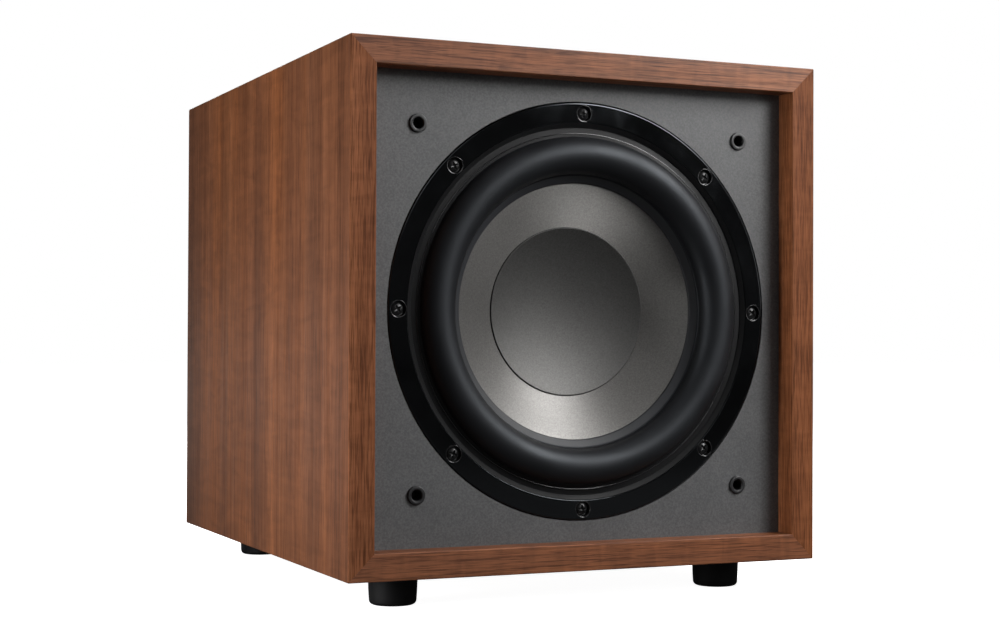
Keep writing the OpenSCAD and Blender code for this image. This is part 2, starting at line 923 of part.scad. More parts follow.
// The outline of a three-pin mains socket, with two corners cut
module mains_outline(grow = 0) {
    w = socket_w / 2 + grow;
    h = socket_h / 2 + grow;
    cut = 4.5;
    polygon([[-w, h], [w, h], [w, -h + cut], [w - cut, -h], [-w + cut, -h], [-w, -h + cut]]);
}

module mains_blades(grow, z0, z1) {
    blade = [2, 4];
    for (p = [[-7, 2], [7, 2], [0, -2]])
        translate([p[0], p[1] - socket_z, 0]) slab(blade[0] + grow, blade[1] + grow, z0, z1);
}

module mains_inlet() {
    flange_w = 36;
    flange_h = 34;
    corner_r = 2;
    drawer_gap = 0.6;
    blade_fit = 0.02;
    back_z = -16;
    floor_z = -10;
    color(black) at_rear(inlet_pos) difference() {
        union() {
            translate([0, 0, plate_z1]) linear_extrude(inlet_face_z - plate_z1)
                round_square(flange_w, flange_h, corner_r);
            slab(inlet_w, inlet_h, back_z, plate_z1);
        }
        translate([0, -socket_z, floor_z]) linear_extrude(inlet_face_z - floor_z + eps) mains_outline();
        translate([0, -drawer_z, 0])
            slab(drawer_w + drawer_gap, drawer_h + drawer_gap, floor_z, inlet_face_z + eps);
        mains_blades(blade_fit, back_z - eps, floor_z + eps);
    }
}

module mains_contacts() {
    tail_z = -22;
    tip_inset = 3;
    color([0.8, 0.8, 0.8]) at_rear(inlet_pos) mains_blades(0, tail_z, inlet_face_z - tip_inset);
}

module fuse_drawer() {
    front_t = 2.4;
    back_z = -9.5;
    wall_t = 1.5;
    open_side = 2;
    front_wall = 2;
    notch = [9, 3, 1.5];
    color([0.09, 0.09, 0.09]) at_rear(inlet_pos) translate([0, -drawer_z, 0]) difference() {
        slab(drawer_w, drawer_h, back_z, inlet_face_z + front_t);
        translate([0, open_side, 0])
            slab(drawer_w - 2 * wall_t, drawer_h + eps, back_z + wall_t, inlet_face_z - front_wall);
        translate([0, drawer_h / 2 + 0.4, 0])
            slab(notch[0], notch[1], inlet_face_z + front_t - notch[2], inlet_face_z + front_t + eps);
    }
}

module fuse() {
    fuse_r = 2.5;
    fuse_l = 20;
    fuse_z = -2;
    off_middle = 0.88;
    color([0.8, 0.8, 0.85]) at_rear(inlet_pos)
        translate([-fuse_l / 2, -drawer_z + off_middle, fuse_z]) rotate([0, 90, 0]) cylinder(r = fuse_r, h = fuse_l);
}

module power_rocker_frame() {
    bezel = 1.3;
    bezel_t = 1.6;
    wall_t = 1;
    back_z = -14;
    floor_z = -7;
    bore_l = 12.8;
    color(black) at_rear(rocker_pos) difference() {
        union() {
            slab(rocker_box_w + 2 * bezel, rocker_box_h + 2 * bezel, plate_z1, plate_z1 + bezel_t);
            slab(rocker_box_w, rocker_box_h, back_z, plate_z1);
        }
        slab(rocker_box_w - 2 * wall_t, rocker_box_h - 2 * wall_t, floor_z, plate_z1 + bezel_t + eps);
        translate([0, 0, rocker_pivot_z]) rotate([0, 90, 0])
            translate([0, 0, -bore_l / 2]) cylinder(r = rocker_pin_r + run_gap, h = bore_l);
    }
}

module power_rocker() {
    half = 7.3;
    width = 10.4;
    pin_l = 12.6;
    below = 4;
    middle_h = 5.4;
    end_h = 6.6;
    color([0.1, 0.1, 0.1]) at_rear(rocker_pos)
        translate([0, 0, rocker_pivot_z]) rotate([rocker_tilt, 0, 0]) {
            rotate([90, 0, 90]) translate([0, 0, -width / 2]) linear_extrude(width)
                polygon([[-half, -below], [half, -below], [half, end_h], [0, middle_h], [-half, end_h]]);
            rotate([0, 90, 0]) translate([0, 0, -pin_l / 2]) cylinder(r = rocker_pin_r, h = pin_l);
        }
}

top_panel();
bottom_panel();
left_panel();
right_panel();
front_baffle();
rear_panel();
window_brace();
baffle_battens();
rear_battens();
damping_wadding();
foot_front_left();
foot_front_right();
foot_rear_left();
foot_rear_right();
foot_screws();
grille_sockets();
driver_gasket();
driver_basket();
trim_ring();
surround();
cone();
dust_cap();
voice_coil_former();
voice_coil_winding();
spider();
top_plate();
magnets();
pole_yoke();
terminal_strip();
tinsel_leads();
speaker_leads();
driver_screws();
amp_gasket();
amp_plate();
heat_sink();
amp_screws();
main_board();
transformer();
transformer_bolt();
reservoir_capacitors();
output_transistors();
control_board();
control_pots();
volume_shaft();
volume_knob();
crossover_shaft();
crossover_knob();
slide_switches();
phase_slider();
power_mode_slider();
status_led();
jack_block();
line_jacks();
jack_cores();
mains_inlet();
mains_contacts();
fuse_drawer();
fuse();
power_rocker_frame();
power_rocker();
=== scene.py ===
"""A powered subwoofer in a plain studio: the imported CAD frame, dressed with detailed pieces and materials."""

import math

import bmesh
import bpy
import numpy as np
from mathutils import Matrix, Vector


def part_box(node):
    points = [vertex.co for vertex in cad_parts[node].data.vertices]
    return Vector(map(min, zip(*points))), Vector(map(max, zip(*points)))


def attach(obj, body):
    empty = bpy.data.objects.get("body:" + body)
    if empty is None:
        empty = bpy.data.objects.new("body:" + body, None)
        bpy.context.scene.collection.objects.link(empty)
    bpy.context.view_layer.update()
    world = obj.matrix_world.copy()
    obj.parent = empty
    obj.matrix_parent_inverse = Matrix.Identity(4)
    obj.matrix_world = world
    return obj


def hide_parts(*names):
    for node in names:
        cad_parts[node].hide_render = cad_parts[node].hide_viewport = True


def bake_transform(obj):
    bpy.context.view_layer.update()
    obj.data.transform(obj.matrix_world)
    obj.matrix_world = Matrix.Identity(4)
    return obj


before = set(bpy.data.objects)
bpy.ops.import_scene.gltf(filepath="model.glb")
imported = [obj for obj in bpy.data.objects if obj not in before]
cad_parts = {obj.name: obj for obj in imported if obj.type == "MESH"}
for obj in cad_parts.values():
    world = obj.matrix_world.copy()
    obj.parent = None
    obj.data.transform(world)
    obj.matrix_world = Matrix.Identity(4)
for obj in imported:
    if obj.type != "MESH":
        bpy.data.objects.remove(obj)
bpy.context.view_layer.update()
MM = 0.001

# ---------- Places worked out from the frame ----------

FRONT_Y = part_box("top_panel")[0].y
REAR_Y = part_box("top_panel")[1].y
UNDER_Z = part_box("bottom_panel")[0].z
TOP_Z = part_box("top_panel")[1].z
HALF_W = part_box("right_panel")[1].x
MID_Z = (UNDER_Z + TOP_Z) / 2
BOARD = TOP_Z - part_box("top_panel")[0].z
BAFFLE_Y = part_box("front_baffle")[0].y
DRIVER = Vector((0, BAFFLE_Y, MID_Z))
PLATE_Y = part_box("amp_plate")[1].y


def middle(node):
    low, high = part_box(node)
    return (low + high) / 2


def half_size(node):
    low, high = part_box(node)
    return (high - low) / 2


def on_plane(low, high, y):
    """The middle of a box seen from the front, at a given depth."""
    return Vector(((low.x + high.x) / 2, y, (low.z + high.z) / 2))


def eased(t):
    """Nought to one with a soft start and end."""
    t = min(max(t, 0), 1)
    return t * t * (3 - 2 * t)


# ---------- Mesh helpers ----------


def piece(name, verts, faces, body, material, slot=None, replaces=(), sharp=35):
    """Makes a smooth-shaded mesh that rides on a body and may stand for CAD nodes."""
    mesh = bpy.data.meshes.new(name)
    mesh.from_pydata([tuple(v) for v in verts], [], faces)
    mesh.validate()
    return dress(name, mesh, body, material, slot, replaces, sharp)


def joined(parts):
    """The vertices and faces of several meshes as those of one."""
    verts, faces = [], []
    for part_verts, part_faces in parts:
        faces += [[i + len(verts) for i in face] for face in part_faces]
        verts += part_verts
    return verts, faces


def dress(name, mesh, body, material, slot=None, replaces=(), sharp=35):
    """Cleans a mesh, gives it its materials and says which body it rides on and what it stands for."""
    bm = bmesh.new()
    bm.from_mesh(mesh)
    bmesh.ops.remove_doubles(bm, verts=bm.verts, dist=1e-7)
    bmesh.ops.recalc_face_normals(bm, faces=bm.faces)
    bm.to_mesh(mesh)
    bm.free()
    mesh.shade_smooth()
    mesh.set_sharp_from_angle(angle=math.radians(sharp))
    obj = bpy.data.objects.new(name, mesh)
    bpy.context.scene.collection.objects.link(obj)
    for m in material if isinstance(material, (list, tuple)) else [material]:
        mesh.materials.append(m)
    if body:
        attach(obj, body)
    if replaces:
        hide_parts(*replaces)
    return obj


def filleted(points, steps=4):
    """A profile whose corners are rounded: each point is (r, d) or (r, d, fillet radius)."""
    out = []
    count = len(points)
    for i, p in enumerate(points):
        here = Vector(p[:2])
        if len(p) < 3 or p[2] <= 0:
            out.append(tuple(here))
            continue
        before = Vector(points[i - 1][:2]) - here
        after = Vector(points[(i + 1) % count][:2]) - here
        turn = before.angle(after)
        cut = min(p[2] / math.tan(turn / 2), before.length * 0.49, after.length * 0.49)
        radius = cut * math.tan(turn / 2)
        centre = here + (before.normalized() + after.normalized()).normalized() * radius / math.sin(turn / 2)
        a = here + before.normalized() * cut - centre
        b = here + after.normalized() * cut - centre
        sweep = a.angle_signed(b)
        for s in range(steps + 1):
            arm = a.copy()
            arm.rotate(Matrix.Rotation(-sweep * s / steps, 2))
            out.append(tuple(centre + arm))
    return out


def lathe_data(profile, at, axis="y", steps=180, closed=True, face_slot=None):
    """Vertices and faces of a profile of (radius, depth) turned about an axis through a point."""
    verts, faces, slots = [], [], []
    rows = len(profile)
    for s in range(steps):
        a = 2 * math.pi * s / steps
        for r, d in profile:
            x, y = r * math.cos(a), r * math.sin(a)
            verts.append(at + (Vector((x, d, y)) if axis == "y" else Vector((x, y, d))))
    spans = rows if closed else rows - 1
    for s in range(steps):
        n = (s + 1) % steps
        for i in range(spans):
            j = (i + 1) % rows
            faces.append((s * rows + i, s * rows + j, n * rows + j, n * rows + i))
            slots.append(face_slot(i) if face_slot else 0)
    return verts, faces, slots


def lathe(name, profile, at, body, material, axis="y", steps=180, closed=True, face_slot=None, **more):
    """A turned piece; face_slot gives the material of the faces that start at a profile point."""
    verts, faces, slots = lathe_data(profile, at, axis, steps, closed, face_slot)
    mesh = bpy.data.meshes.new(name)
    mesh.from_pydata([tuple(v) for v in verts], [], faces)
    mesh.polygons.foreach_set("material_index", slots)
    return dress(name, mesh, body, material, **more)


def softened(node, width, body, material, slot):
    """A copy of a CAD node's mesh with its sharp edges rounded, standing for that node."""
    name, angle = node + "_finish", 32
    bm = bmesh.new()
    bm.from_mesh(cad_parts[node].data)
    bmesh.ops.remove_doubles(bm, verts=bm.verts, dist=2e-6)
    bmesh.ops.dissolve_limit(
        bm, angle_limit=math.radians(0.5), verts=bm.verts, edges=bm.edges, delimit=set()
    )
    mesh = bpy.data.meshes.new(name)
    bm.to_mesh(mesh)
    bm.free()
    mesh.materials.clear()
    obj = dress(name, mesh, body, material, slot, (node,), angle)
    bevel = obj.modifiers.new("edges", "BEVEL")
    bevel.width = width
    bevel.segments = 2
    bevel.limit_method = "ANGLE"
    bevel.angle_limit = math.radians(angle)
    bevel.harden_normals = True


def repaint(material, *nodes):
    """Gives CAD nodes a finished material in their own slots."""
    for node in nodes:
        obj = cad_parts[node]
        if not obj.material_slots:
            obj.data.materials.append(material)
        for s in obj.material_slots:
            s.material = material


def weighted(obj):
    """Keeps the shading of large flat faces flat beside their rounded edges."""
    mod = obj.modifiers.new("flat faces", "WEIGHTED_NORMAL")
    mod.keep_sharp = True
    return obj


# ---------- Material helpers ----------


class Finish:
    """A node material built step by step round one Principled shader."""

    def __init__(self, name, base, roughness, metallic=0.0, **sockets):
        self.material = bpy.data.materials.new(name)
        self.material.use_nodes = True
        self.tree = self.material.node_tree
        self.shader = self.tree.nodes["Principled BSDF"]
        self.relief = {}
        self.set(**{"Base Color": (*base, 1), "Roughness": roughness, "Metallic": metallic})
        self.set(**{k.replace("_", " "): v for k, v in sockets.items()})

    def feed(self, node, inputs):
        """Gives each input of a node a value, or links it to another node's output."""
        for key, value in inputs.items():
            if isinstance(value, bpy.types.NodeSocket):
                self.tree.links.new(value, node.inputs[key])
            else:
                node.inputs[key].default_value = value
        return node

    def set(self, **inputs):
        self.feed(self.shader, inputs)

    def node(self, kind, inputs, output, **settings):
        """Adds a node and gives back one of its outputs."""
        made = self.tree.nodes.new(kind)
        for key, value in settings.items():
            setattr(made, key, value)
        return self.feed(made, inputs).outputs[output]

    def coords(self, scale=(1, 1, 1), shift=(0, 0, 0)):
        place = self.node("ShaderNodeTexCoord", {}, "Object")
        return self.node("ShaderNodeMapping", {"Vector": place, "Scale": scale, "Location": shift}, "Vector")

    def noise(self, vector, scale, detail=3, roughness=0.5, distortion=0.0):
        inputs = {"Vector": vector, "Scale": scale, "Detail": detail, "Roughness": roughness}
        return self.node("ShaderNodeTexNoise", {**inputs, "Distortion": distortion}, "Fac")

    def wave(self, axis, scale, distortion):
        inputs = {"Vector": self.coords(), "Scale": scale, "Distortion": distortion}
        return self.node("ShaderNodeTexWave", inputs, "Fac", bands_direction=axis)

    def ramp(self, fac, stops):
        made = self.tree.nodes.new("ShaderNodeValToRGB")
        elements = made.color_ramp.elements
        while len(elements) < len(stops):
            elements.new(0.5)
        for element, (place, colour) in zip(elements, stops):
            element.position = place
            element.color = (*colour, 1)
        return self.feed(made, {"Fac": fac}).outputs["Color"]

    def mix(self, fac, a, b, how="MIX"):
        """Mixes two colours; a mix node's colours are its inputs 6 and 7 and its output 2."""
        a, b = [(*c, 1) if isinstance(c, tuple) else c for c in (a, b)]
        return self.node("ShaderNodeMix", {0: fac, 6: a, 7: b}, 2, data_type="RGBA", blend_type=how)

    def math(self, how, a, b):
        return self.node("ShaderNodeMath", {0: a, 1: b}, "Value", operation=how)

    def colour(self, output):
        self.set(**{"Base Color": output})

    def rough(self, fac, low, high, to_low, to_high):
        """Takes the roughness from one value to another as a pattern goes from low to high."""
        inputs = {"Value": fac, "From Min": low, "From Max": high, "To Min": to_low, "To Max": to_high}
        self.set(Roughness=self.node("ShaderNodeMapRange", inputs, "Result"))

    def bump(self, height, strength, distance):
        """Adds relief on top of what there is."""
        inputs = {"Height": height, "Strength": strength, "Distance": distance, **self.relief}
        self.relief = {"Normal": self.node("ShaderNodeBump", inputs, "Normal")}
        self.set(**self.relief)


def shade(base, by):
    return tuple(c * by for c in base)


def speckled(name, base, roughness, metallic=0.0, grain=1500, depth=0.02, vary=0.15, fleck=0.06, **sockets):
    """A moulded, painted or rubber finish: fine grain in the surface, cloudiness and flecks in the colour."""
    f = Finish(name, base, roughness, metallic, **sockets)
    cloud = f.noise(f.coords(), 45, 4, 0.6)
    fine = f.noise(f.coords(), grain, 2, 0.6)
    clouded = f.ramp(cloud, [(0.3, shade(base, 1 - vary)), (0.7, shade(base, 1 + vary))])
    flecks = f.ramp(fine, [(0.34, [1 - fleck] * 3), (0.66, [1 + fleck] * 3)])
    f.colour(f.mix(1.0, clouded, flecks, "MULTIPLY"))
    f.rough(cloud, 0.3, 0.7, max(roughness - 0.05, 0.02), roughness + 0.06)
    f.bump(fine, 0.5, depth * MM)
    return f.material


# ---------- Materials ----------


def walnut(name, along, tone=1.0, pores=0.6, seed=0.0, gloss=0.25, banding=0.9, hairs=1300, combed=0.2):
    """Wood-grain wrap whose figure runs along one axis.

    tone scales its colour. pores, banding and combed say how strongly the pores, the wide bands and
    the long streaks show, and hairs is how many of the finest lines there are across a metre.
    """
    f = Finish(name, (0.2, 0.09, 0.05), 0.5, Specular_IOR_Level=gloss)
    axis = "xyz".index(along)

    def grain(across, ratio, detail, roughness, distortion=0.0):
        """Noise with so many features across a metre, each drawn out ratio times along the grain."""
        scale = [across] * 3
        scale[axis] = across / ratio
        return f.noise(f.coords(scale, (seed, seed * 1.7, seed * 0.6)), 1, detail, roughness, distortion)

    broad, board = grain(12, 16, 2, 0.5, 0.3), grain(30, 30, 2, 0.5, 0.2)
    band, streak = grain(48, 34, 4, 0.6, 0.25), grain(330, 70, 4, 0.7)
    hair, pore, vein = grain(hairs, 45, 3, 0.75), grain(1800, 36, 2, 0.6), grain(780, 60, 3, 0.65)
    ripples = [28] * 3
    ripples[axis] = 105
    ripple = f.noise(f.coords(ripples, (seed, seed, seed)), 1, 2, 0.5, 0.8)
    figure = f.noise(f.coords([9, 9, 9]), 1, 2, 0.5)
    browns = [
        (0.3, (0.128, 0.046, 0.0195)),
        (0.45, (0.162, 0.059, 0.0255)),
        (0.57, (0.19, 0.071, 0.031)),
        (0.72, (0.226, 0.089, 0.042)),
    ]
    wood = f.ramp(band, [(place, shade(brown, tone)) for place, brown in browns])
    layers = [  # strength, pattern, and what it multiplies the wood by from its low to its high values
        (banding, broad, [(0.36, (0.76, 0.79, 0.84)), (0.5, (1, 1, 0.98)), (0.62, (1.24, 1.16, 0.94))]),
        (banding, board, [(0.38, (0.87, 0.88, 0.9)), (0.5, (1, 1, 1)), (0.62, (1.13, 1.09, 1))]),
        (combed, streak, [(0.34, (0.7, 0.64, 0.6)), (0.56, (1.06, 1.06, 1.06))]),
        (0.85, hair, [(0.38, (0.5, 0.44, 0.4)), (0.48, (1.02, 1.02, 1.02)), (0.62, (1.24, 1.22, 1.2))]),
        (0.75, ripple, [(0.36, (0.84, 0.83, 0.82)), (0.62, (1.08, 1.08, 1.08))]),
        (0.3, figure, [(0.35, (0.86, 0.86, 0.86)), (0.65, (1.12, 1.12, 1.12))]),
        (pores, pore, [(0.39, (0.4, 0.34, 0.3)), (0.47, (1, 1, 1)), (0.66, (1.14, 1.13, 1.12))]),
        (pores, vein, [(0.36, (0.3, 0.24, 0.21)), (0.39, (1.03, 1.03, 1.03))]),
    ]
    for strength, pattern, stops in layers:
        wood = f.mix(strength, wood, f.ramp(pattern, stops), "MULTIPLY")
    f.colour(wood)
    f.rough(streak, 0.35, 0.65, 0.56, 0.44)
    f.bump(pore, 0.35, 0.05 * MM)
    f.bump(streak, 0.25, 0.06 * MM)
    return f.material


def plain_wood(name, low, high, along, layered=None):
    """Bare wood inside the box; layered names the axis its plies are stacked along."""
    f = Finish(name, low, 0.7)
    axis = "xyz".index(along)
    scale = [60, 60, 60]
    scale[axis] = 4
    grain = f.noise(f.coords(scale), 1, 5, 0.65, 0.4)
    fine = f.noise(f.coords([s * 6 for s in scale]), 1, 3, 0.6)
    wood = f.mix(0.5, f.ramp(grain, [(0.3, low), (0.7, high)]), f.ramp(fine, [(0.35, low), (0.6, high)]))
    if layered:
        plies = f.wave(layered.upper(), 130, 0.6)
        wood = f.mix(0.35, wood, f.ramp(plies, [(0.3, shade(low, 0.6)), (0.7, high)]))
    f.colour(wood)
    f.bump(fine, 0.4, 0.1 * MM)
    return f.material


def radial(f, at):
    """Distance from the driver's axis and angle round it."""
    place = {"Vector": f.node("ShaderNodeTexCoord", {}, "Object")}
    x = f.math("SUBTRACT", f.node("ShaderNodeSeparateXYZ", place, "X"), at.x)
    z = f.math("SUBTRACT", f.node("ShaderNodeSeparateXYZ", place, "Z"), at.z)
    radius = f.math("SQRT", f.math("ADD", f.math("MULTIPLY", x, x), f.math("MULTIPLY", z, z)), 0)
    return radius, f.math("ARCTAN2", z, x)


def spun(name, base, roughness, metallic, at, rings=9000, spread=0.12, turned=0.0, **sockets):
    """Metal turned or pressed about the driver's axis, with fine rings and a slight grit in its surface."""
    f = Finish(name, base, roughness, metallic, **sockets)
    radius, angle = radial(f, at)
    polar = {"X": f.math("MULTIPLY", radius, rings / 10), "Y": f.math("MULTIPLY", angle, 0.6)}
    ring = f.noise(f.node("ShaderNodeCombineXYZ", polar, "Vector"), 2, 4, 0.7)
    cloud = f.noise(f.coords(), 22, 3, 0.5)
    grit = f.noise(f.coords(), 1000, 3, 0.7)
    ringed = f.ramp(ring, [(0.3, shade(base, 1 - spread)), (0.7, shade(base, 1 + spread))])
    clouded = f.ramp(cloud, [(0.3, shade(base, 0.93)), (0.7, shade(base, 1.07))])
    gritty = f.ramp(grit, [(0.3, (0.72, 0.72, 0.72)), (0.7, (1.25, 1.25, 1.25))])
    f.colour(f.mix(0.7, f.mix(0.5, ringed, clouded), gritty, "MULTIPLY"))
    f.rough(ring, 0.3, 0.7, roughness - 0.04, roughness + 0.06)
    f.bump(ring, 0.2, 0.02 * MM)
    f.bump(grit, 0.3, 0.012 * MM)
    if turned:
        tangent = f.node("ShaderNodeTangent", {}, "Tangent", direction_type="RADIAL", axis="Y")
        f.set(**{"Tangent": tangent, "Anisotropic": turned, "Anisotropic Rotation": 0.25})
    return f.material


def woven(name, base, thread, depth, roughness=0.85, lift=0.35):
    """Cloth or braid: two crossing sets of threads."""
    f = Finish(name, base, roughness)
    weave = f.math("MULTIPLY", f.wave("X", 0.314 / thread, 0.8), f.wave("Z", 0.314 / thread, 0.8))
    f.colour(f.ramp(weave, [(0.1, shade(base, 1 - lift)), (0.7, shade(base, 1 + lift))]))
    f.bump(weave, 0.7, depth)
    return f.material


def fluffy(name, base):
    """Fibre wadding: fine tangled strands over soft lumps."""
    f = Finish(name, base, 0.95, Sheen_Weight=0.4)
    strand = f.noise(f.coords(), 260, 6, 0.75, 1.6)
    lump = f.noise(f.coords(), 30, 4, 0.6)
    strands = f.ramp(strand, [(0.35, shade(base, 0.66)), (0.65, shade(base, 1.2))])
    lumps = f.ramp(lump, [(0.3, shade(base, 0.7)), (0.7, shade(base, 1.15))])
    f.colour(f.mix(0.5, strands, lumps))
    f.bump(strand, 0.9, 1.2 * MM)
    return f.material


def metal(name, base, roughness, grain=420, depth=0.02, brushed=None, vary=0.12):
    """Bare or plated metal; brushed names the axis its scratches run along."""
    f = Finish(name, base, roughness, 1.0)
    scale = [1, 1, 1]
    if brushed:
        scale["xyz".index(brushed)] = 0.03
    fine = f.noise(f.coords(scale), grain, 4, 0.65)
    cloud = f.noise(f.coords(), 60, 3, 0.6)
    f.colour(f.ramp(cloud, [(0.3, shade(base, 1 - vary)), (0.7, shade(base, 1 + vary))]))
    f.rough(fine, 0.3, 0.7, max(0.04, roughness - 0.08), roughness + 0.08)
    f.bump(fine, 0.4, depth * MM)
    return f.material


def board_green(name):
    """Circuit board: solder mask with tracks and pads under it."""
    f = Finish(name, (0.01, 0.1, 0.04), 0.35)
    cells = {"Vector": f.coords(), "Scale": 160}
    tracks = f.node("ShaderNodeTexVoronoi", cells, "Distance", feature="DISTANCE_TO_EDGE")
    f.colour(f.ramp(tracks, [(0.05, (0.02, 0.17, 0.07)), (0.12, (0.008, 0.07, 0.03))]))
    f.bump(tracks, 0.5, 0.05 * MM)
    return f.material


EDGE_GRAIN = {"banding": 0.4, "hairs": 1100, "combed": 0.4}
WOOD_SIDE = walnut("walnut wrap, upright grain", "z", 0.98, 0.2, gloss=0.15)
WOOD_FRAME_Z = walnut("walnut frame, upright grain", "z", 1.03, seed=3.0, gloss=0.08, **EDGE_GRAIN)
WOOD_FRAME_X = walnut("walnut frame, level grain", "x", 1.1, seed=5.0, gloss=0.26, **EDGE_GRAIN)
WOOD_TOP = walnut("walnut wrap, level grain", "x", 1.1, 0.2, seed=7.0)
# Painted light: the inner faces of the upright boards, seen as the returns inside the front edge, are the same
# walnut at one and a half times the sides' tone, standing in for light from the left
WOOD_RETURN_PAINTED_LIGHT = walnut("walnut wrap inside the front edge", "z", 1.5, seed=9.0, gloss=0.08, banding=0.4)
BIRCH = plain_wood("birch plywood", (0.4, 0.29, 0.17), (0.56, 0.44, 0.29), "x", "y")
PINE = plain_wood("pine", (0.45, 0.3, 0.15), (0.62, 0.46, 0.26), "z")
BAFFLE = speckled(
    "baffle wrap", (0.084, 0.084, 0.086), 0.46, grain=850, depth=0.08, vary=0.06, fleck=0.2,
    Specular_IOR_Level=0.4,
)
RUBBER = speckled(
    "foot rubber", (0.004, 0.004, 0.0045), 0.62, grain=700, depth=0.05, Specular_IOR_Level=0.25
)
SOCKET = speckled("socket plastic", (0.008, 0.008, 0.009), 0.4, grain=900, depth=0.02)
FOAM = speckled("gasket foam", (0.02, 0.02, 0.021), 0.95, grain=1400, depth=0.25)
COOL = (0.86, 0.93, 1.0, 1.0)  # a slightly blue tint for highlights
GLOSS = speckled(
    "trim ring gloss", (0.0012, 0.0012, 0.0013), 0.08, grain=2400, depth=0.002, vary=0.1,
    Specular_Tint=COOL,
)
DULL = speckled(
    "trim ring inner bevel", (0.0035, 0.0035, 0.004), 0.55, grain=1500, depth=0.01, Specular_IOR_Level=0.2
)
POCKET = speckled(
    "trim ring pocket", (0.012, 0.012, 0.013), 0.12, grain=1500, depth=0.004, Specular_IOR_Level=0.9
)
SURROUND = speckled(
    "surround rubber", (0.006, 0.006, 0.007), 0.5, grain=2300, depth=0.012, vary=0.12,
    Specular_IOR_Level=0.32, Specular_Tint=COOL,
)
SKIRT = speckled("surround inner band", (0.016, 0.017, 0.02), 0.5, grain=2300, depth=0.01, vary=0.08)
CONE = spun("coated cone", (0.238, 0.231, 0.222), 0.54, 0.88, DRIVER, turned=0.94)
# Painted shade: the cap has the cone's coating, but its base colour is set several times darker than the cone's
# so that it looks as dim as it does in this light
CAP_PAINTED_SHADE = spun("coated dust cap, darkened as painted shade", (0.068, 0.0667, 0.0645), 0.48, 0.88, DRIVER, spread=0.06)
SEAM = speckled("glue seam", (0.006, 0.006, 0.006), 0.6)
STEEL = metal("zinc steel", (0.6, 0.6, 0.6), 0.32)
SCREW_BLACK = speckled(
    "black screw finish", (0.008, 0.008, 0.0085), 0.3, grain=1300, depth=0.008, Specular_IOR_Level=0.3
)
BLACK_STEEL = speckled("blackened steel", (0.11, 0.11, 0.112), 0.26, 1.0, grain=1200, depth=0.01)
BASKET = speckled("basket paint", (0.016, 0.016, 0.017), 0.4, grain=1000, depth=0.05)
KAPTON = spun("polyimide former", (0.45, 0.17, 0.035), 0.25, 0.0, DRIVER)
COPPER = metal("enamelled copper wire", (0.75, 0.3, 0.13), 0.28, grain=900)
SPIDER = woven("spider cloth", (0.5, 0.33, 0.13), 0.0008, 0.15 * MM)
FERRITE = speckled("ferrite", (0.035, 0.035, 0.037), 0.55, 0.2, grain=600, depth=0.06)
FIBRE = speckled("fibre board", (0.16, 0.08, 0.035), 0.55, grain=900, depth=0.05)
BRAID = woven("copper braid", (0.62, 0.28, 0.14), 0.0004, 0.1 * MM, 0.4)
LEAD_RED = speckled("lead sleeve", (0.09, 0.011, 0.01), 0.45, grain=800, depth=0.02)
AMP_PAINT = speckled("amplifier paint", (0.02, 0.02, 0.021), 0.48, 0.0, grain=1300, depth=0.07)
SINK = metal("anodised heat sink", (0.035, 0.035, 0.037), 0.38, brushed="z", vary=0.1)
CIRCUIT = board_green("circuit board")
TAPE = speckled("transformer tape", (0.5, 0.34, 0.04), 0.4, grain=500, depth=0.04)
SLEEVE = speckled("capacitor sleeve", (0.012, 0.022, 0.06), 0.3, grain=900, depth=0.01)
CASE = speckled("transistor case", (0.015, 0.015, 0.016), 0.5, grain=1200, depth=0.03)
KNOB = speckled("knob plastic", (0.019, 0.019, 0.02), 0.42, grain=1300, depth=0.02)
INLET = speckled("inlet plastic", (0.014, 0.014, 0.015), 0.36, grain=1000, depth=0.02)
ROCKER = speckled("rocker plastic", (0.012, 0.012, 0.013), 0.28, grain=1400, depth=0.01)
NICKEL = metal("nickel plating", (0.66, 0.63, 0.58), 0.2)
INK = speckled("printed marks", (0.6, 0.6, 0.6), 0.6, grain=1200, depth=0.005, vary=0.05)
RED_CORE = speckled("red insulator", (0.42, 0.018, 0.014), 0.35, grain=900)
WHITE_CORE = speckled("white insulator", (0.68, 0.67, 0.64), 0.35, grain=900, vary=0.05)
GLASS = speckled(
    "fuse glass", (0.85, 0.87, 0.86), 0.08, grain=800, depth=0.001, vary=0.03, Transmission_Weight=0.85
)
LENS = speckled(
    "lamp lens", (0.05, 0.16, 0.5), 0.2, grain=700, depth=0.002, Emission_Color=(0.1, 0.35, 1, 1),
    Emission_Strength=0.6,
)
WADDING = fluffy("damping wadding", (0.62, 0.61, 0.57))


# ---------- Cabinet ----------

ARRIS = 0.7 * MM  # rounding of the wrap over an edge
HAIR = 0.03 * MM  # half the width of a mitre line


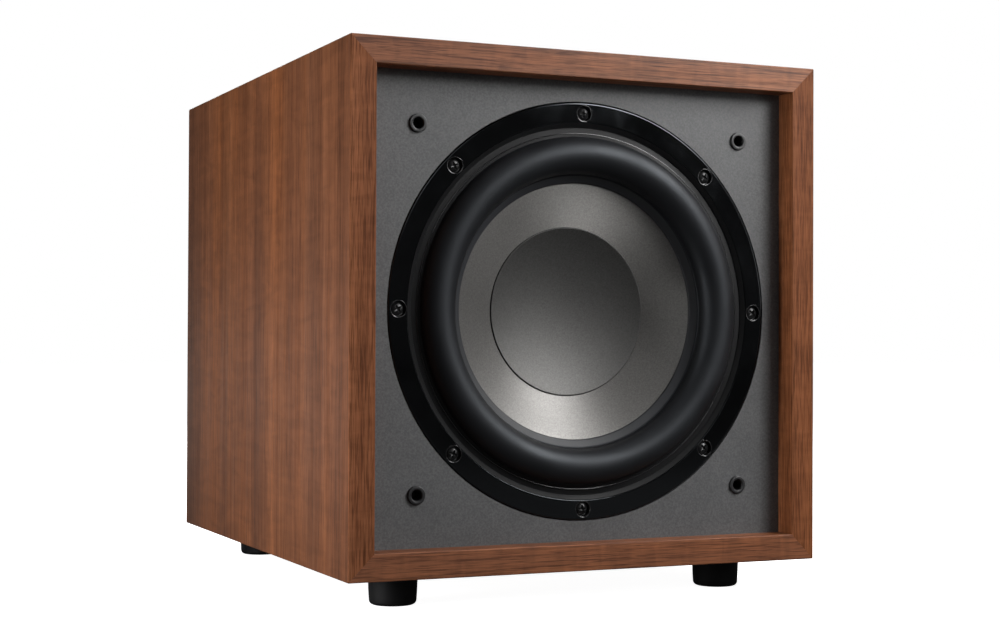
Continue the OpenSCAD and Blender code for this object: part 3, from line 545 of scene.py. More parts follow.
def mitred_panel(node, turn, half_width, reach, woods):
    """One board with mitred ends: it is built as the top board and turned about the box's depth axis.

    woods are those of its outer side, of its front and rear edges, and of its inner side.
    """
    deep = REAR_Y - FRONT_Y
    arc = [math.radians(a) for a in (0, 30, 60, 90)]
    # Each station is how far back it is, how far the wrap is rounded in, and half the mitre line.
    stations = [(ARRIS * (1 - math.sin(a)), ARRIS * (1 - math.cos(a)), HAIR) for a in arc[::-1]]
    stations += [(1.6 * MM, 0, HAIR * 0.4), (3 * MM, 0, 0), (deep - 2 * ARRIS, 0, 0)]
    stations += [(deep - ARRIS * (1 - math.sin(a)), ARRIS * (1 - math.cos(a)), 0) for a in arc]
    rows = []
    for back, inset, gap in stations:
        w, h = half_width - inset - ARRIS, reach - inset - ARRIS
        bends = [math.radians(a) for a in (45, 60, 75, 90)]
        row = [(-w - ARRIS * math.cos(a), h + ARRIS * math.sin(a)) for a in bends]
        row += [(-x, z) for x, z in row[::-1]]
        inner_w, inner_h = half_width - BOARD + inset, reach - BOARD + inset
        row += [(inner_w, inner_h), (-inner_w, inner_h)]
        rows.append([(x - math.copysign(gap, x), back, z) for x, z in row])
    count = len(rows[0])
    faces, slots = [], []
    for i in range(len(rows) - 1):
        for j in range(count):
            k = (j + 1) % count
            faces.append((i * count + j, i * count + k, (i + 1) * count + k, (i + 1) * count + j))
            slots.append(1 if i < len(arc) - 1 else 2 if j == count - 2 else 0)
    faces += [tuple(range(count)), tuple(range((len(rows) - 1) * count, len(rows) * count))[::-1]]
    slots += [1, 1]
    base = Matrix.Translation((0, FRONT_Y, MID_Z)) @ Matrix.Rotation(turn, 4, "Y")
    mesh = bpy.data.meshes.new(node + "_board")
    mesh.from_pydata([tuple(base @ Vector(p)) for row in rows for p in row], [], faces)
    mesh.polygons.foreach_set("material_index", slots)
    return weighted(dress(node + "_board", mesh, "cabinet", woods, "walnut_wrap", (node,), 50))


def cabinet():
    """The four mitred boards, the baffle and back, and the battens and brace inside."""
    half_h = TOP_Z - MID_Z
    quarter = math.pi / 2
    level = (WOOD_TOP, WOOD_FRAME_X, WOOD_FRAME_X)
    # The inner side of the upright boards takes the brightened walnut, a painted light
    upright = (WOOD_SIDE, WOOD_FRAME_Z, WOOD_RETURN_PAINTED_LIGHT)
    mitred_panel("top_panel", 0, HALF_W, half_h, level)
    mitred_panel("bottom_panel", math.pi, HALF_W, half_h, level)
    mitred_panel("left_panel", -quarter, half_h, HALF_W, upright)
    mitred_panel("right_panel", quarter, half_h, HALF_W, upright)
    repaint(BAFFLE, "front_baffle")
    softened("rear_panel", 0.35 * MM, "cabinet", WOOD_SIDE, slot="walnut_wrap")
    repaint(BIRCH, "window_brace")
    repaint(PINE, "baffle_battens", "rear_battens")


def wadding():
    """Lumpy pads of fibre in place of the four plain strips."""
    rng = np.random.default_rng(4)
    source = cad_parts["damping_wadding"].data
    bm = bmesh.new()
    bm.from_mesh(source)
    bmesh.ops.remove_doubles(bm, verts=bm.verts, dist=1e-6)
    for _ in range(3):
        bmesh.ops.subdivide_edges(
            bm, edges=[e for e in bm.edges if e.calc_length() > 12 * MM], cuts=2, use_grid_fill=True
        )
    bmesh.ops.triangulate(bm, faces=bm.faces)
    low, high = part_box("damping_wadding")
    bm.normal_update()
    moves = rng.uniform(0.0, 2.4 * MM, len(bm.verts))
    for v, m in zip(bm.verts, moves):
        v.co -= v.normal * m
        v.co = Vector([min(max(c, a), b) for c, a, b in zip(v.co, low, high)])
    mesh = bpy.data.meshes.new("wadding_pads")
    bm.to_mesh(mesh)
    bm.free()
    obj = dress("wadding_pads", mesh, "cabinet", WADDING, "wadding", ("damping_wadding",), 80)


# ---------- Feet and sockets ----------


def islands(node):
    """The separate solids of a node, as (low, high) boxes."""
    bm = bmesh.new()
    bm.from_mesh(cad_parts[node].data)
    bmesh.ops.remove_doubles(bm, verts=bm.verts, dist=2e-6)
    todo, found = set(bm.verts), []
    while todo:
        seed = todo.pop()
        group, edge = [seed], [seed]
        while edge:
            for e in edge.pop().link_edges:
                for v in e.verts:
                    if v in todo:
                        todo.remove(v)
                        group.append(v)
                        edge.append(v)
        cols = list(zip(*[v.co for v in group]))
        found.append((Vector([min(c) for c in cols]), Vector([max(c) for c in cols])))
    bm.free()
    return sorted(found, key=lambda b: tuple(b[0]))


def foot(node):
    """A rubber foot: its rounded body, and the well and hole for its screw."""
    low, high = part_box(node)
    r, h = (high.x - low.x) / 2, high.z - low.z
    bottom_r, well_r, hole_r, well_h = r - 1.5 * MM, 6.5 * MM, 2.6 * MM, 9 * MM
    profile = filleted([
        (hole_r, h), (hole_r, well_h), (well_r, well_h, 0.5 * MM), (well_r, 0, 0.8 * MM),
        (bottom_r, 0, 2.8 * MM), (bottom_r + 0.5 * MM, 7 * MM), (r - 0.55 * MM, h - 2.4 * MM, 0.5 * MM),
        (r, h - 1.9 * MM, 0.4 * MM), (r, h, 0.25 * MM),
    ], 6)
    at = Vector(((low.x + high.x) / 2, (low.y + high.y) / 2, low.z))
    lathe(node + "_moulding", profile, at, "cabinet", RUBBER, "z", 72, slot="foot_rubber", replaces=(node,))


def sockets():
    """Four push-in cups in the baffle, for the pegs of a grille."""
    hole_r = 3.2 * MM
    cups = []
    for low, high in islands("grille_sockets"):
        r, proud, depth = (high.x - low.x) / 2, BAFFLE_Y - low.y, high.y - BAFFLE_Y
        profile = filleted([
            (0, depth - 1 * MM), (hole_r - 0.2 * MM, depth - 1 * MM, 0.3 * MM),
            (hole_r, -proud + 1 * MM, 1 * MM), (hole_r + 0.6 * MM, -proud + 0.1 * MM, 0.4 * MM),
            (hole_r + 1 * MM, -proud, 0.3 * MM), (r - 0.2 * MM, -proud, 0.6 * MM),
            (r, 0), (r - 1 * MM, 0), (r - 1 * MM, depth), (0, depth),
        ], 5)
        cups.append(lathe_data(profile, on_plane(low, high, BAFFLE_Y), "y", 64, closed=False)[:2])
    piece("grille_socket_cups", *joined(cups), "cabinet", SOCKET, "socket_plastic", ("grille_sockets",), 40)


# ---------- Screws ----------


def screw_head_data(at, facing, r, h, turn, under):
    """A pan head with a cross recess, as a dense dome that faces -Y for facing -1 and +Y for +1."""
    rings, spokes = 30, 96
    arm_l, arm_w, depth = r * 0.6, r * 0.13, h * 0.62
    flat, crown = 0.86, h * 0.42
    ball = (r * r * flat + crown**2) / (2 * crown)
    c, t = math.cos(turn), math.sin(turn)
    verts, faces = [], []
    for i in range(rings + 1):
        q = r * math.sin(math.pi / 2 * i / rings)
        drop = ball - math.sqrt(max(ball * ball - q * q * flat, 0))
        drop += h * 0.22 * max(0, (q / r - flat) / (1 - flat)) ** 2
        for s in range(spokes):
            a = 2 * math.pi * s / spokes
            x, z = q * math.cos(a), q * math.sin(a)
            u, v = abs(x), abs(z)
            # How far this point is outside the cross, and from that how deep the recess is here.
            off = min(max(v - arm_w, u - arm_l), max(u - arm_w, v - arm_l))
            off = min(off, max(u + v - arm_w * 3.1, -1))
            cut = depth * eased((arm_w * 0.25 - off) / (arm_w * 0.55))
            cut *= 1 - 0.55 * q / arm_l if q < arm_l * 1.3 else 0.3
            high = h - drop - cut
            verts.append(at + Vector((x * c - z * t, facing * high, x * t + z * c)))
    for s in range(spokes):
        a = 2 * math.pi * s / spokes + turn
        verts.append(at + Vector((r * math.cos(a), -facing * under, r * math.sin(a))))
    for i in range(rings + 1):
        for s in range(spokes):
            n = (s + 1) % spokes
            faces.append((i * spokes + s, i * spokes + n, (i + 1) * spokes + n, (i + 1) * spokes + s))
    return verts, faces


def screw_set(node, name, facing, r, h, material, slot):
    """Heads and shanks for every screw of a node, each left at its own angle by the screwdriver."""
    rng = np.random.default_rng(len(name))
    shank_r, neck = r * 0.56, -facing * 0.02 * MM
    parts = []
    for low, high in islands(node):
        at = on_plane(low, high, low.y + h if facing < 0 else high.y - h)
        parts.append(screw_head_data(at, facing, r, h, rng.uniform(0, math.pi / 2), 0.05 * MM))
        tip = (high.y if facing < 0 else low.y) - at.y
        shank = [(0, tip), (shank_r, tip), (shank_r, neck), (0, neck)]
        parts.append(lathe_data(shank, at, "y", 24, closed=False)[:2])
    return piece(name, *joined(parts), "cabinet", material, slot, (node,), 38)


# ---------- Driver ----------

# Sizes in _R are distances from the driver's axis, and those in _D are depths behind the baffle's front.

RING_R = half_size("trim_ring").x
RING_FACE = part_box("trim_ring")[0].y - BAFFLE_Y
RING_BORE_R, BEVEL_R = 118.5 * MM, 121.35 * MM
FLANGE_R = 120.6 * MM
FLANGE_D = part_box("trim_ring")[1].y - BAFFLE_Y
SKIN_D = 2.4 * MM
SKIN = 1.2 * MM  # the thickness of the rubber and of the cone
SCREW_HEAD_R, SCREW_HEAD_H, POCKET_R = 4.1 * MM, 3.2 * MM, 5.25 * MM
ROLL_OUT, ROLL_IN = 112.8 * MM, 88.8 * MM
CONE_R, CONE_EDGE_D, CONE_SLOPE = 83.1 * MM, 10.2 * MM, 0.498
CAP_R = half_size("dust_cap").x
CAP_SAG = 9 * MM


def cone_depth(r):
    return CONE_EDGE_D + (CONE_R - r) * CONE_SLOPE


def screw_places():
    return [on_plane(low, high, BAFFLE_Y) for low, high in islands("driver_screws")]


def trim_ring():
    """The glossy ring over the driver's flange, with a round pocket for each screw."""
    profile = filleted([
        (RING_BORE_R, SKIN_D), (RING_BORE_R, SKIN_D - 0.5 * MM, 0.3 * MM),
        (BEVEL_R, RING_FACE + 0.55 * MM, 0.7 * MM), (BEVEL_R + 0.55 * MM, RING_FACE, 0.35 * MM),
        (BEVEL_R + 1.25 * MM, RING_FACE),  # this and the next keep the face flat under smooth shading
        (RING_R - 1.5 * MM, RING_FACE), (RING_R - 0.2 * MM, RING_FACE, 0.9 * MM),
        (RING_R, RING_FACE + 1.2 * MM, 0.3 * MM), (RING_R, FLANGE_D),
        (FLANGE_R + 0.1 * MM, FLANGE_D), (FLANGE_R + 0.1 * MM, SKIN_D),
    ], 6)
    ring = lathe(
        "trim_ring_moulding", profile, DRIVER, "cabinet", (GLOSS, DULL), steps=288, slot="gloss_trim",
        replaces=("trim_ring",), sharp=40, face_slot=lambda i: 1 if profile[i][0] < BEVEL_R else 0,
    )
    cutter = [(0, -4 * MM), (POCKET_R, -4 * MM), (POCKET_R, 8 * MM), (0, 8 * MM)]
    holes = [lathe_data(cutter, at, "y", 64, closed=False)[:2] for at in screw_places()]
    tool = piece("pocket_cutter", *joined(holes), None, GLOSS)
    cut = ring.modifiers.new("pockets", "BOOLEAN")
    cut.operation = "DIFFERENCE"
    cut.solver = "EXACT"
    cut.object = tool
    bpy.context.view_layer.update()
    done = bpy.data.meshes.new_from_object(ring.evaluated_get(bpy.context.evaluated_depsgraph_get()))
    ring.modifiers.clear()
    ring.data = done
    done.shade_smooth()
    done.set_sharp_from_angle(angle=math.radians(40))
    bpy.data.objects.remove(tool)
    cup = filleted([
        (POCKET_R + 0.32 * MM, RING_FACE + 0.4 * MM),
        (POCKET_R + 0.3 * MM, RING_FACE - 0.02 * MM, 0.15 * MM),
        (POCKET_R - 0.3 * MM, RING_FACE + 0.02 * MM, 0.55 * MM),
        (POCKET_R - 0.35 * MM, FLANGE_D - 0.2 * MM, 0.5 * MM), (2.5 * MM, FLANGE_D - 0.15 * MM),
    ], 6)
    cups = [lathe_data(cup, at, "y", 64, closed=False)[:2] for at in screw_places()]
    piece("screw_pocket_cups", *joined(cups), "cabinet", POCKET, "gloss_trim", (), 60)


def roll_profile():
    """The rubber ring from its flange skin over the half roll to the lip on the cone."""
    foot_in = CONE_EDGE_D - (ROLL_IN - CONE_R) * CONE_SLOPE - SKIN
    mid = Vector(((ROLL_OUT + ROLL_IN) / 2, (SKIN_D + foot_in) / 2))
    chord = Vector((ROLL_OUT - ROLL_IN, SKIN_D - foot_in))
    lean = math.atan2(chord.y, chord.x)
    steps = 48

    def arc(radius, stops):
        """Points of the half circle, from its outer end at stop 0 to its inner end at the last."""
        turns = [lean - math.pi * i / steps for i in stops]
        return [(mid.x + radius * math.cos(a), mid.y + radius * math.sin(a)) for a in turns]

    flange = [
        (FLANGE_R, FLANGE_D), (FLANGE_R, SKIN_D), (ROLL_OUT + 2.2 * MM, SKIN_D),
        (ROLL_OUT + 1.7 * MM, SKIN_D - 0.25 * MM), (ROLL_OUT + 0.9 * MM, SKIN_D - 0.5 * MM),
    ]
    lip = [
        (ROLL_IN - 0.5 * MM, foot_in - 0.35 * MM), (ROLL_IN - 1.1 * MM, foot_in + 0.1 * MM),
        (CONE_R + 0.9 * MM, CONE_EDGE_D - SKIN - 0.35 * MM),
        (CONE_R + 0.3 * MM, CONE_EDGE_D - SKIN + 0.1 * MM),
        (CONE_R + 0.05 * MM, CONE_EDGE_D - SKIN + 0.5 * MM), (CONE_R, CONE_EDGE_D - 0.1 * MM),
        (ROLL_IN + SKIN, cone_depth(ROLL_IN + SKIN) - 0.1 * MM),
    ]
    outside = arc(chord.length / 2, range(1, steps))
    inside_roll = arc(chord.length / 2 - SKIN, range(steps, -1, -1))
    return flange + outside + lip + inside_roll + [(ROLL_OUT - SKIN, FLANGE_D)]


def radial_blend(obj):
    """Bakes the piece's placement into its mesh."""
    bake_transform(obj)


def surround():
    """The rubber half roll between the ring and the cone, and the bead round its outer edge."""
    roll = roll_profile()
    lip = [i for i, p in enumerate(roll) if p[0] < ROLL_IN - 0.6 * MM]

    def finish(i):
        """The roll itself is 0, its lip on the cone 1 and its skin on the flange 2."""
        if lip[0] <= i <= lip[-1]:
            return 1
        return 2 if roll[i][0] > ROLL_OUT + 0.5 * MM else 0

    rubber = lathe(
        "rubber_surround", roll, DRIVER, None, (SURROUND, SKIRT, DULL), steps=240, slot="surround_rubber",
        replaces=("surround",), sharp=55, face_slot=finish,
    )
    radial_blend(rubber)
    bead_r, thick = ROLL_OUT + 1.9 * MM, 0.36 * MM
    turns = [-2 * math.pi * i / 12 for i in range(12)]
    bead = [(bead_r + thick * math.cos(a), SKIN_D - 0.1 * MM + thick * math.sin(a)) for a in turns]
    lathe("surround_bead", bead, DRIVER, "cabinet", POCKET, steps=240, slot="surround_rubber", sharp=60)


def cone():
    """The pressed cone, with its neck behind the cap."""
    hole_r, neck_r, rim_r = 25.4 * MM, 26.6 * MM, ROLL_IN + SKIN
    neck_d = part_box("cone")[1].y - BAFFLE_Y
    front = [rim_r - (rim_r - hole_r) * i / 30 for i in range(31)]
    profile = [(r, cone_depth(r)) for r in front] + [(hole_r, neck_d), (neck_r, neck_d)]
    profile += [(r, cone_depth(r) + SKIN) for r in (neck_r, rim_r)]
    lathe(
        "pressed_cone", profile, DRIVER, "cone_assembly", CONE, steps=240, slot="cone_metal",
        replaces=("cone",),
    )


def dust_cap():
    """The concave cap, and the line of glue round it."""
    rim_d = cone_depth(CAP_R) - 1.1 * MM
    ball = (CAP_R**2 + CAP_SAG**2) / (2 * CAP_SAG)
    radii = [(CAP_R - 0.5 * MM) * i / 40 for i in range(41)]
    bowl = [(r, rim_d + CAP_SAG - ball + math.sqrt(ball * ball - r * r)) for r in radii]
    edge = [
        (CAP_R - 0.25 * MM, rim_d + 0.1 * MM), (CAP_R - 0.05 * MM, rim_d + 0.2 * MM),
        (CAP_R, rim_d + 0.4 * MM), (CAP_R, rim_d + 1.0 * MM),
    ]
    back = [(r, d + 1 * MM) for r, d in bowl[::-1]]
    lathe(
        "concave_dust_cap", bowl + edge + back, DRIVER, "cone_assembly", CAP_PAINTED_SHADE, steps=240, closed=False,
        slot="cone_metal", replaces=("dust_cap",), sharp=50,
    )
    in_r, out_r = CAP_R + 0.02 * MM, CAP_R + 0.45 * MM
    seam = filleted([
        (in_r, rim_d + 0.9 * MM), (in_r, rim_d + 0.55 * MM, 0.2 * MM),
        (out_r, cone_depth(out_r) - 0.04 * MM), (out_r, cone_depth(out_r) + 0.3 * MM),
    ])
    lathe("cap_glue_line", seam, DRIVER, "cone_assembly", SEAM, steps=240, slot="cone_metal")


def spider():
    """Corrugated cloth from the basket to the voice coil's former."""
    front_d, in_r, out_r = 50.2 * MM, 25.5 * MM, half_size("spider").x
    first, last = in_r + 3 * MM, out_r - 12 * MM
    waves, height, steps = 5, 1.8 * MM, 120
    front = [(in_r, front_d)]
    for i in range(steps + 1):
        lift = height * math.sin(2 * math.pi * waves * i / steps)
        front.append((first + (last - first) * i / steps, front_d + lift))
    front.append((out_r, front_d))
    profile = front + [(r, d + 0.8 * MM) for r, d in front[::-1]]
    cloth = lathe(
        "spider_cloth", profile, DRIVER, None, SPIDER, steps=160, slot="spider_cloth", replaces=("spider",),
        sharp=60,
    )
    radial_blend(cloth)


def smooth_route(points, steps):
    """A smooth curve through given points."""
    out = []
    for i in range(len(points) - 1):
        a, b = points[max(i - 1, 0)], points[i]
        c, d = points[i + 1], points[min(i + 2, len(points) - 1)]
        for s in range(steps):
            t = s / steps
            square, cube = 2 * a - 5 * b + 4 * c - d, 3 * b - a - 3 * c + d
            out.append(0.5 * (2 * b + (c - a) * t + square * t * t + cube * t**3))
    return out + [points[-1]]


def leads():
    """Two braided leads from the strip to the cone."""
    path = [(27.6, 42.5), (38, 43), (50, 39), (62, 36), (78, 36), (90, 39), (96, 47), (94, 55), (84.9, 57.5)]
    points = smooth_route([Vector((r * MM, 0, d * MM)) for r, d in path], 8)
    last, sides, lead_r, apart = len(points) - 1, 12, 0.88 * MM, 7 * MM
    round_axis = Matrix.Rotation(math.radians(-30), 3, "Z")
    across = Vector((0, 1, 0))
    both, weights = [], []
    for side in (-1, 1):
        verts, faces = [], []
        for i, p in enumerate(points):
            up = (points[min(i + 1, last)] - points[max(i - 1, 0)]).normalized().cross(across)
            for k in range(sides):
                a = 2 * math.pi * k / sides
                strand = lead_r * (1 + 0.08 * math.sin(6 * a + i * 0.9))
                q = p + (across * math.cos(a) + up * math.sin(a)) * strand + across * side * apart
                verts.append(DRIVER + (round_axis @ q).xzy)
                weights.append(eased(1.08 - 1.15 * i / last))
        for i in range(last):
            for k in range(sides):
                n = (k + 1) % sides
                faces.append((i * sides + k, i * sides + n, (i + 1) * sides + n, (i + 1) * sides + k))
        faces += [tuple(range(sides)), tuple(range(last * sides, (last + 1) * sides))]
        both.append((verts, faces))
    verts, faces = joined(both)
    mesh = bpy.data.meshes.new("braided_tinsel_leads")
    mesh.from_pydata([tuple(v) for v in verts], [], faces)
    mesh.shade_smooth()
    mesh.materials.append(BRAID)
    obj = bpy.data.objects.new("braided_tinsel_leads", mesh)
    bpy.context.scene.collection.objects.link(obj)
    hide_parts("tinsel_leads")
    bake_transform(obj)


def driver():
    """Every detailed piece of the driver, from the ring at its front to the leads behind the cone."""
    trim_ring()
    screw_set(
        "driver_screws", "driver_screw_heads", -1, SCREW_HEAD_R, SCREW_HEAD_H, SCREW_BLACK, "black_steel"
    )
    surround()
    cone()
    dust_cap()
    spider()
    leads()


# ---------- Rear ----------


def blocks(name, boxes, material, body="cabinet", slot=None):
    """Thin printed marks or small plates, each a closed block from a low to a high corner."""
    sides = ((0, 1, 3, 2), (4, 6, 7, 5), (0, 4, 5, 1), (2, 3, 7, 6), (0, 2, 6, 4), (1, 5, 7, 3))
    parts = []
    for (x0, y0, z0), (x1, y1, z1) in boxes:
        parts.append(([(x, y, z) for x in (x0, x1) for y in (y0, y1) for z in (z0, z1)], sides))
    return piece(name, *joined(parts), body, material, slot, (), 30)


def dial_marks(knob_node):
    """Eleven ticks round a knob, longer at the two ends and the middle."""
    at = middle(knob_node)
    base, r0 = Vector((at.x, PLATE_Y, at.z)), half_size(knob_node).x + 2 * MM
    sides = ((0, 1, 2, 3), (7, 6, 5, 4), (0, 4, 5, 1), (1, 5, 6, 2), (2, 6, 7, 3), (3, 7, 4, 0))
    ticks = []
    for i in range(11):
        a = math.radians(-150 + 30 * i)
        r1 = r0 + (3.2 * MM if i in (0, 5, 10) else 2 * MM)
        out, side = Vector((math.sin(a), 0, math.cos(a))), Vector((math.cos(a), 0, -math.sin(a))) * 0.3 * MM
        corners = (out * r0 - side, out * r0 + side, out * r1 + side, out * r1 - side)
        lifts = (Vector((0, -0.02 * MM, 0)), Vector((0, 0.04 * MM, 0)))
        ticks.append(([base + p + up for up in lifts for p in corners], sides))
    piece(knob_node + "_scale", *joined(ticks), "cabinet", INK, "amp_paint")


def knob(node, body):
    """A fluted knob with a skirt and a white pointer that turns with it."""
    low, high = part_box(node)
    at = on_plane(low, high, low.y)
    r, h = (high.x - low.x) / 2, high.y - low.y
    grip, steps, flutes, flute_d = r - 1.2 * MM, 288, 18, 0.42 * MM
    rows = [  # radius, height, and how much of the flutes' depth there is
        (6.2 * MM, 4.5 * MM, 0), (6.2 * MM, 0, 0), (r - 0.5 * MM, 0, 0), (r, 0.5 * MM, 0),
        (r, 1.9 * MM, 0), (r - 0.15 * MM, 2.3 * MM, 0), (r - 0.5 * MM, 2.5 * MM, 0),
        (grip + 0.25 * MM, 2.55 * MM, 0.4), (grip, 2.9 * MM, 1), (grip - 0.1 * MM, h - 1.6 * MM, 1),
        (grip - 0.3 * MM, h - 0.8 * MM, 0.8), (grip - 0.75 * MM, h - 0.25 * MM, 0.3),
        (grip - 1.4 * MM, h - 0.02 * MM, 0), (grip - 2.2 * MM, h - 0.1 * MM, 0),
        (grip - 3 * MM, h - 0.35 * MM, 0), (0.02 * MM, h - 0.35 * MM, 0),
    ]
    verts, faces = [], []
    for s in range(steps):
        a = 2 * math.pi * s / steps
        dip = max(0.0, math.cos(flutes * a)) ** 3 * flute_d
        for q, d, share in rows:
            verts.append(at + Vector(((q - dip * share) * math.cos(a), d, (q - dip * share) * math.sin(a))))
    count = len(rows)
    for s in range(steps):
        n = (s + 1) % steps
        for i in range(count - 1):
            faces.append((s * count + i, s * count + i + 1, n * count + i + 1, n * count + i))
    piece(node + "_grip", verts, faces, body, KNOB, "knob_plastic", (node,), 40)
    left, right, top = at.x - 0.55 * MM, at.x + 0.55 * MM, at.y + h
    on_top = ((left, top - 0.45 * MM, at.z + 1.5 * MM), (right, top, at.z + grip - 0.65 * MM))
    on_side = (
        (left, at.y + 3.2 * MM, at.z + grip - 0.7 * MM), (right, top - 0.3 * MM, at.z + grip + 0.06 * MM),
    )
    blocks(node + "_pointer", [on_top, on_side], INK, body, "knob_plastic")


def jacks():
    """Four line jacks: a plated shell each, with a red or white insulator and ring."""
    shells, red, white = [], [], []
    end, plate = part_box("line_jacks")[1].y - REAR_Y, PLATE_Y - REAR_Y
    r, core_r, bore_r, base_r, ring_r, step = 4.15 * MM, 3.3 * MM, 1.7 * MM, 5 * MM, 6.6 * MM, 5.2 * MM
    shell = filleted([
        (core_r, step - 0.6 * MM), (core_r, end, 0.15 * MM), (r, end, 0.35 * MM),
        (r, step), (base_r, step, 0.25 * MM), (base_r, plate - 0.5 * MM),
    ])
    ring = filleted([
        (base_r, plate - 0.3 * MM), (ring_r, plate - 0.3 * MM), (ring_r, plate + 0.35 * MM, 0.2 * MM),
        (base_r, plate + 0.35 * MM),
    ])
    core = filleted([
        (bore_r, step), (bore_r, end - 0.6 * MM, 0.3 * MM), (core_r, end - 0.6 * MM, 0.1 * MM),
        (core_r, step),
    ])
    for low, high in islands("line_jacks"):
        at = on_plane(low, high, REAR_Y)
        shells.append(lathe_data(shell, at, "y", 48, False)[:2])
        cores = red if at.x < middle("line_jacks").x else white
        cores += [lathe_data(profile, at, "y", 48)[:2] for profile in (core, ring)]
    piece("line_jack_shells", *joined(shells), "cabinet", NICKEL, "jack_metal", ("line_jacks",), 40)
    for name, cores, material in (("red", red, RED_CORE), ("white", white, WHITE_CORE)):
        piece(
            "jack_insulators_" + name, *joined(cores), "cabinet", material, "jack_core_plastic",
            ("jack_cores",), 40,
        )


def rear():
    """The amplifier's plate with its fins, controls, jacks, mains parts, screws and printed marks."""
    for node, width, body, material, slot in (
        ("amp_plate", 0.35, "cabinet", AMP_PAINT, "amp_paint"),
        ("heat_sink", 0.3, "cabinet", SINK, "sink_aluminium"),
        ("mains_inlet", 0.35, "cabinet", INLET, "inlet_plastic"),
        ("power_rocker_frame", 0.3, "cabinet", INLET, "rocker_plastic"),
        ("power_rocker", 0.35, "mains_switch", ROCKER, "rocker_plastic"),
        ("fuse_drawer", 0.3, "fuse_tray", INLET, "inlet_plastic"),
        ("mains_contacts", 0.3, "cabinet", NICKEL, "jack_metal"),
        ("phase_slider", 0.18, "phase_button", KNOB, "knob_plastic"),
        ("power_mode_slider", 0.18, "mode_button", KNOB, "knob_plastic"),
    ):
        softened(node, width * MM, body, material, slot)
    screw_set("amp_screws", "amp_screw_heads", 1, 3.6 * MM, 2.4 * MM, BLACK_STEEL, "black_steel")
    for name, body in (("volume", "volume_control"), ("crossover", "crossover_control")):
        knob(name + "_knob", body)
        dial_marks(name + "_knob")
    jacks()
    panel_marks()


def panel_marks():
    """Ticks under the sliders, a line over and under the jacks, and a ring and a bar by the mains rocker."""
    y0, y1 = PLATE_Y - 0.02 * MM, PLATE_Y + 0.04 * MM
    marks = []
    for node, stops in (("phase_slider", (0, 4)), ("power_mode_slider", (-4, 0, 4))):
        at, below = middle(node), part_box(node)[0].z - 3.4 * MM
        for stop in stops:
            x = at.x + stop * MM
            marks.append(((x - 0.3 * MM, y0, below), (x + 0.3 * MM, y1, below + 1.6 * MM)))
    low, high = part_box("line_jacks")
    for z in (low.z - 3.2 * MM, high.z + 3.2 * MM):
        marks.append(((low.x - 1 * MM, y0, z - 0.2 * MM), (high.x + 1 * MM, y1, z + 0.2 * MM)))
    blocks("panel_marks", marks, INK, slot="amp_paint")
    low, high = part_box("power_rocker_frame")
    x, over = middle("power_rocker").x, high.z + 2.4 * MM
    ring = [(1.5 * MM, 0), (1.9 * MM, 0), (1.9 * MM, 0.06 * MM), (1.5 * MM, 0.06 * MM)]
    under = Vector((x, PLATE_Y, low.z - 4 * MM))
    lathe("rocker_off_mark", ring, under, "cabinet", INK, steps=32, slot="amp_paint")
    bar = ((x - 0.25 * MM, y0, over), (x + 0.25 * MM, y1, over + 3.4 * MM))
    blocks("rocker_on_mark", [bar], INK, slot="amp_paint")


def inside():
    """Finishes for what is fixed inside the box and inside the motor."""
    for material, nodes in (
        (BASKET, ("driver_basket",)),
        (FOAM, ("driver_gasket", "amp_gasket")),
        (KAPTON, ("voice_coil_former",)),
        (COPPER, ("voice_coil_winding",)),
        (STEEL, ("top_plate", "pole_yoke", "transformer_bolt", "foot_screws")),
        (STEEL, ("control_pots", "slide_switches", "volume_shaft", "crossover_shaft")),
        (FERRITE, ("magnets",)),
        (FIBRE, ("terminal_strip",)),
        (LEAD_RED, ("speaker_leads",)),
        (CIRCUIT, ("main_board", "control_board")),
        (TAPE, ("transformer",)),
        (SLEEVE, ("reservoir_capacitors",)),
        (CASE, ("output_transistors",)),
        (LENS, ("status_led",)),
        (INLET, ("jack_block",)),
        (GLASS, ("fuse",)),
    ):
        repaint(material, *nodes)


# ---------- Studio ----------


def seen_only(tree, seen, otherwise):
    """A strength that the camera sees directly, and a gentler one for everything that it lights."""
    path = tree.nodes.new("ShaderNodeLightPath")
    spread = tree.nodes.new("ShaderNodeMapRange")
    spread.inputs["To Min"].default_value = otherwise
    spread.inputs["To Max"].default_value = seen
    tree.links.new(path.outputs["Is Camera Ray"], spread.inputs["Value"])
    return spread.outputs["Result"]


def floor():
    """A white table: the camera sees it lit, and it throws only a little light up at the box."""
    reach = 12.0
    corners = [(-reach, -reach, 0), (reach, -reach, 0), (reach, reach, 0), (-reach, reach, 0)]
    f = Finish("studio table", (0.88, 0.88, 0.88), 0.9, Specular_IOR_Level=0.1)
    white = f.ramp(f.noise(f.coords(), 3, 2), [(0.3, (0.87, 0.87, 0.87)), (0.7, (0.89, 0.89, 0.89))])
    to_camera = f.node("ShaderNodeLightPath", {}, "Is Camera Ray")
    f.colour(f.mix(to_camera, (0.05, 0.05, 0.05), white))
    f.set(**{"Emission Color": (1, 1, 1, 1), "Emission Strength": seen_only(f.tree, 0.97, 0.02)})
    piece("studio_floor", corners, [(0, 1, 2, 3)], None, f.material)


def lamp(name, at, aim, size, power):
    """A rectangular area lamp at a place, turned to another."""
    light = bpy.data.lights.new(name, "AREA")
    light.shape = "RECTANGLE"
    light.size, light.size_y = size
    light.energy = power
    light.spread = math.pi
    obj = bpy.data.objects.new(name, light)
    bpy.context.scene.collection.objects.link(obj)
    obj.location = at
    obj.rotation_euler = (Vector(aim) - Vector(at)).to_track_quat("-Z", "Y").to_euler()


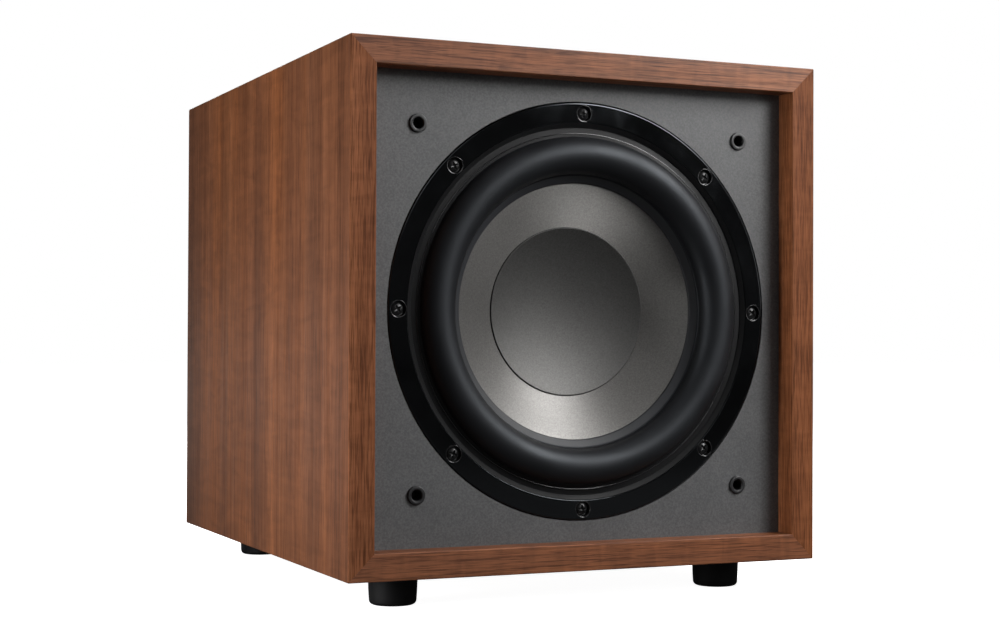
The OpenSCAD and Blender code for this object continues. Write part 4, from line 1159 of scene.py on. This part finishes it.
def camera():
    """The camera that a joint fit of the box, the driver and the feet gave, from the front's bottom edge."""
    data = bpy.data.cameras.new("camera")
    data.lens = 64.12
    data.sensor_width = 36
    obj = bpy.data.objects.new("camera", data)
    bpy.context.scene.collection.objects.link(obj)
    yaw, pitch, roll = math.radians(24.024), math.radians(0.746), math.radians(0.229)
    ahead = Vector((math.sin(yaw) * math.cos(pitch), math.cos(yaw) * math.cos(pitch), math.sin(pitch)))
    right = Vector((math.cos(yaw), -math.sin(yaw), 0))
    up = right.cross(ahead)
    right, up = math.cos(roll) * right + math.sin(roll) * up, math.cos(roll) * up - math.sin(roll) * right
    place = Vector((-0.5164, FRONT_Y - 1.0099, UNDER_Z + 0.1441))
    turn = Matrix((right, up, -ahead)).transposed().to_4x4()
    obj.matrix_world = Matrix.Translation(place) @ turn
    bpy.context.scene.camera = obj


def backdrop():
    """A white studio behind the box that lights it only gently."""
    world = bpy.context.scene.world or bpy.data.worlds.new("studio")
    bpy.context.scene.world = world
    world.use_nodes = True
    back = world.node_tree.nodes["Background"]
    back.inputs["Color"].default_value = (1, 1, 1, 1)
    world.node_tree.links.new(seen_only(world.node_tree, 1.0, 0.055), back.inputs["Strength"])


def studio():
    floor()
    backdrop()
    aim = DRIVER
    lamp("key softbox", aim + 1.35 * Vector((0.62, -0.5, 0.6)), aim, (0.78, 0.55), 16)
    beside, edge = aim + Vector((-0.9, -0.08, 0.0)), aim + Vector((-HALF_W, -0.05, 0.0))
    lamp("left softbox", beside, edge, (0.14, 1.1), 7.2)
    lamp("right softbox", aim + 1.4 * Vector((0.7, -0.66, 0.2)), aim, (0.2, 0.5), 1.3)
    lamp("low softbox", (-0.5, -0.22, 0.05), (-HALF_W, -0.12, 0.07), (0.12, 0.2), 1.0)
    lamp("front softbox", aim + 1.2 * Vector((0.55, -0.73, 0.42)), aim, (0.44, 0.28), 6.2)
    lamp("fill softbox", aim + 2.2 * Vector((0.1, -0.95, 0.29)), aim, (0.6, 0.45), 2.4)
    lamp("top softbox", (0.0, 0.1, 1.9), aim, (1.6, 1.4), 12)
    lamp("side glow", (-0.95, 1.3, 0.08), (-HALF_W, 0.0, 0.05), (0.9, 0.2), 1.0)
    lamp("rear softbox", aim + 2.2 * Vector((0.25, 0.9, 0.4)), aim, (1.2, 0.9), 34)
    bpy.context.scene.view_settings.view_transform = "Standard"


cabinet()
wadding()
for corner in ("front_left", "front_right", "rear_left", "rear_right"):
    foot("foot_" + corner)
sockets()
driver()
rear()
inside()
studio()
camera()

bpy.context.view_layer.update()
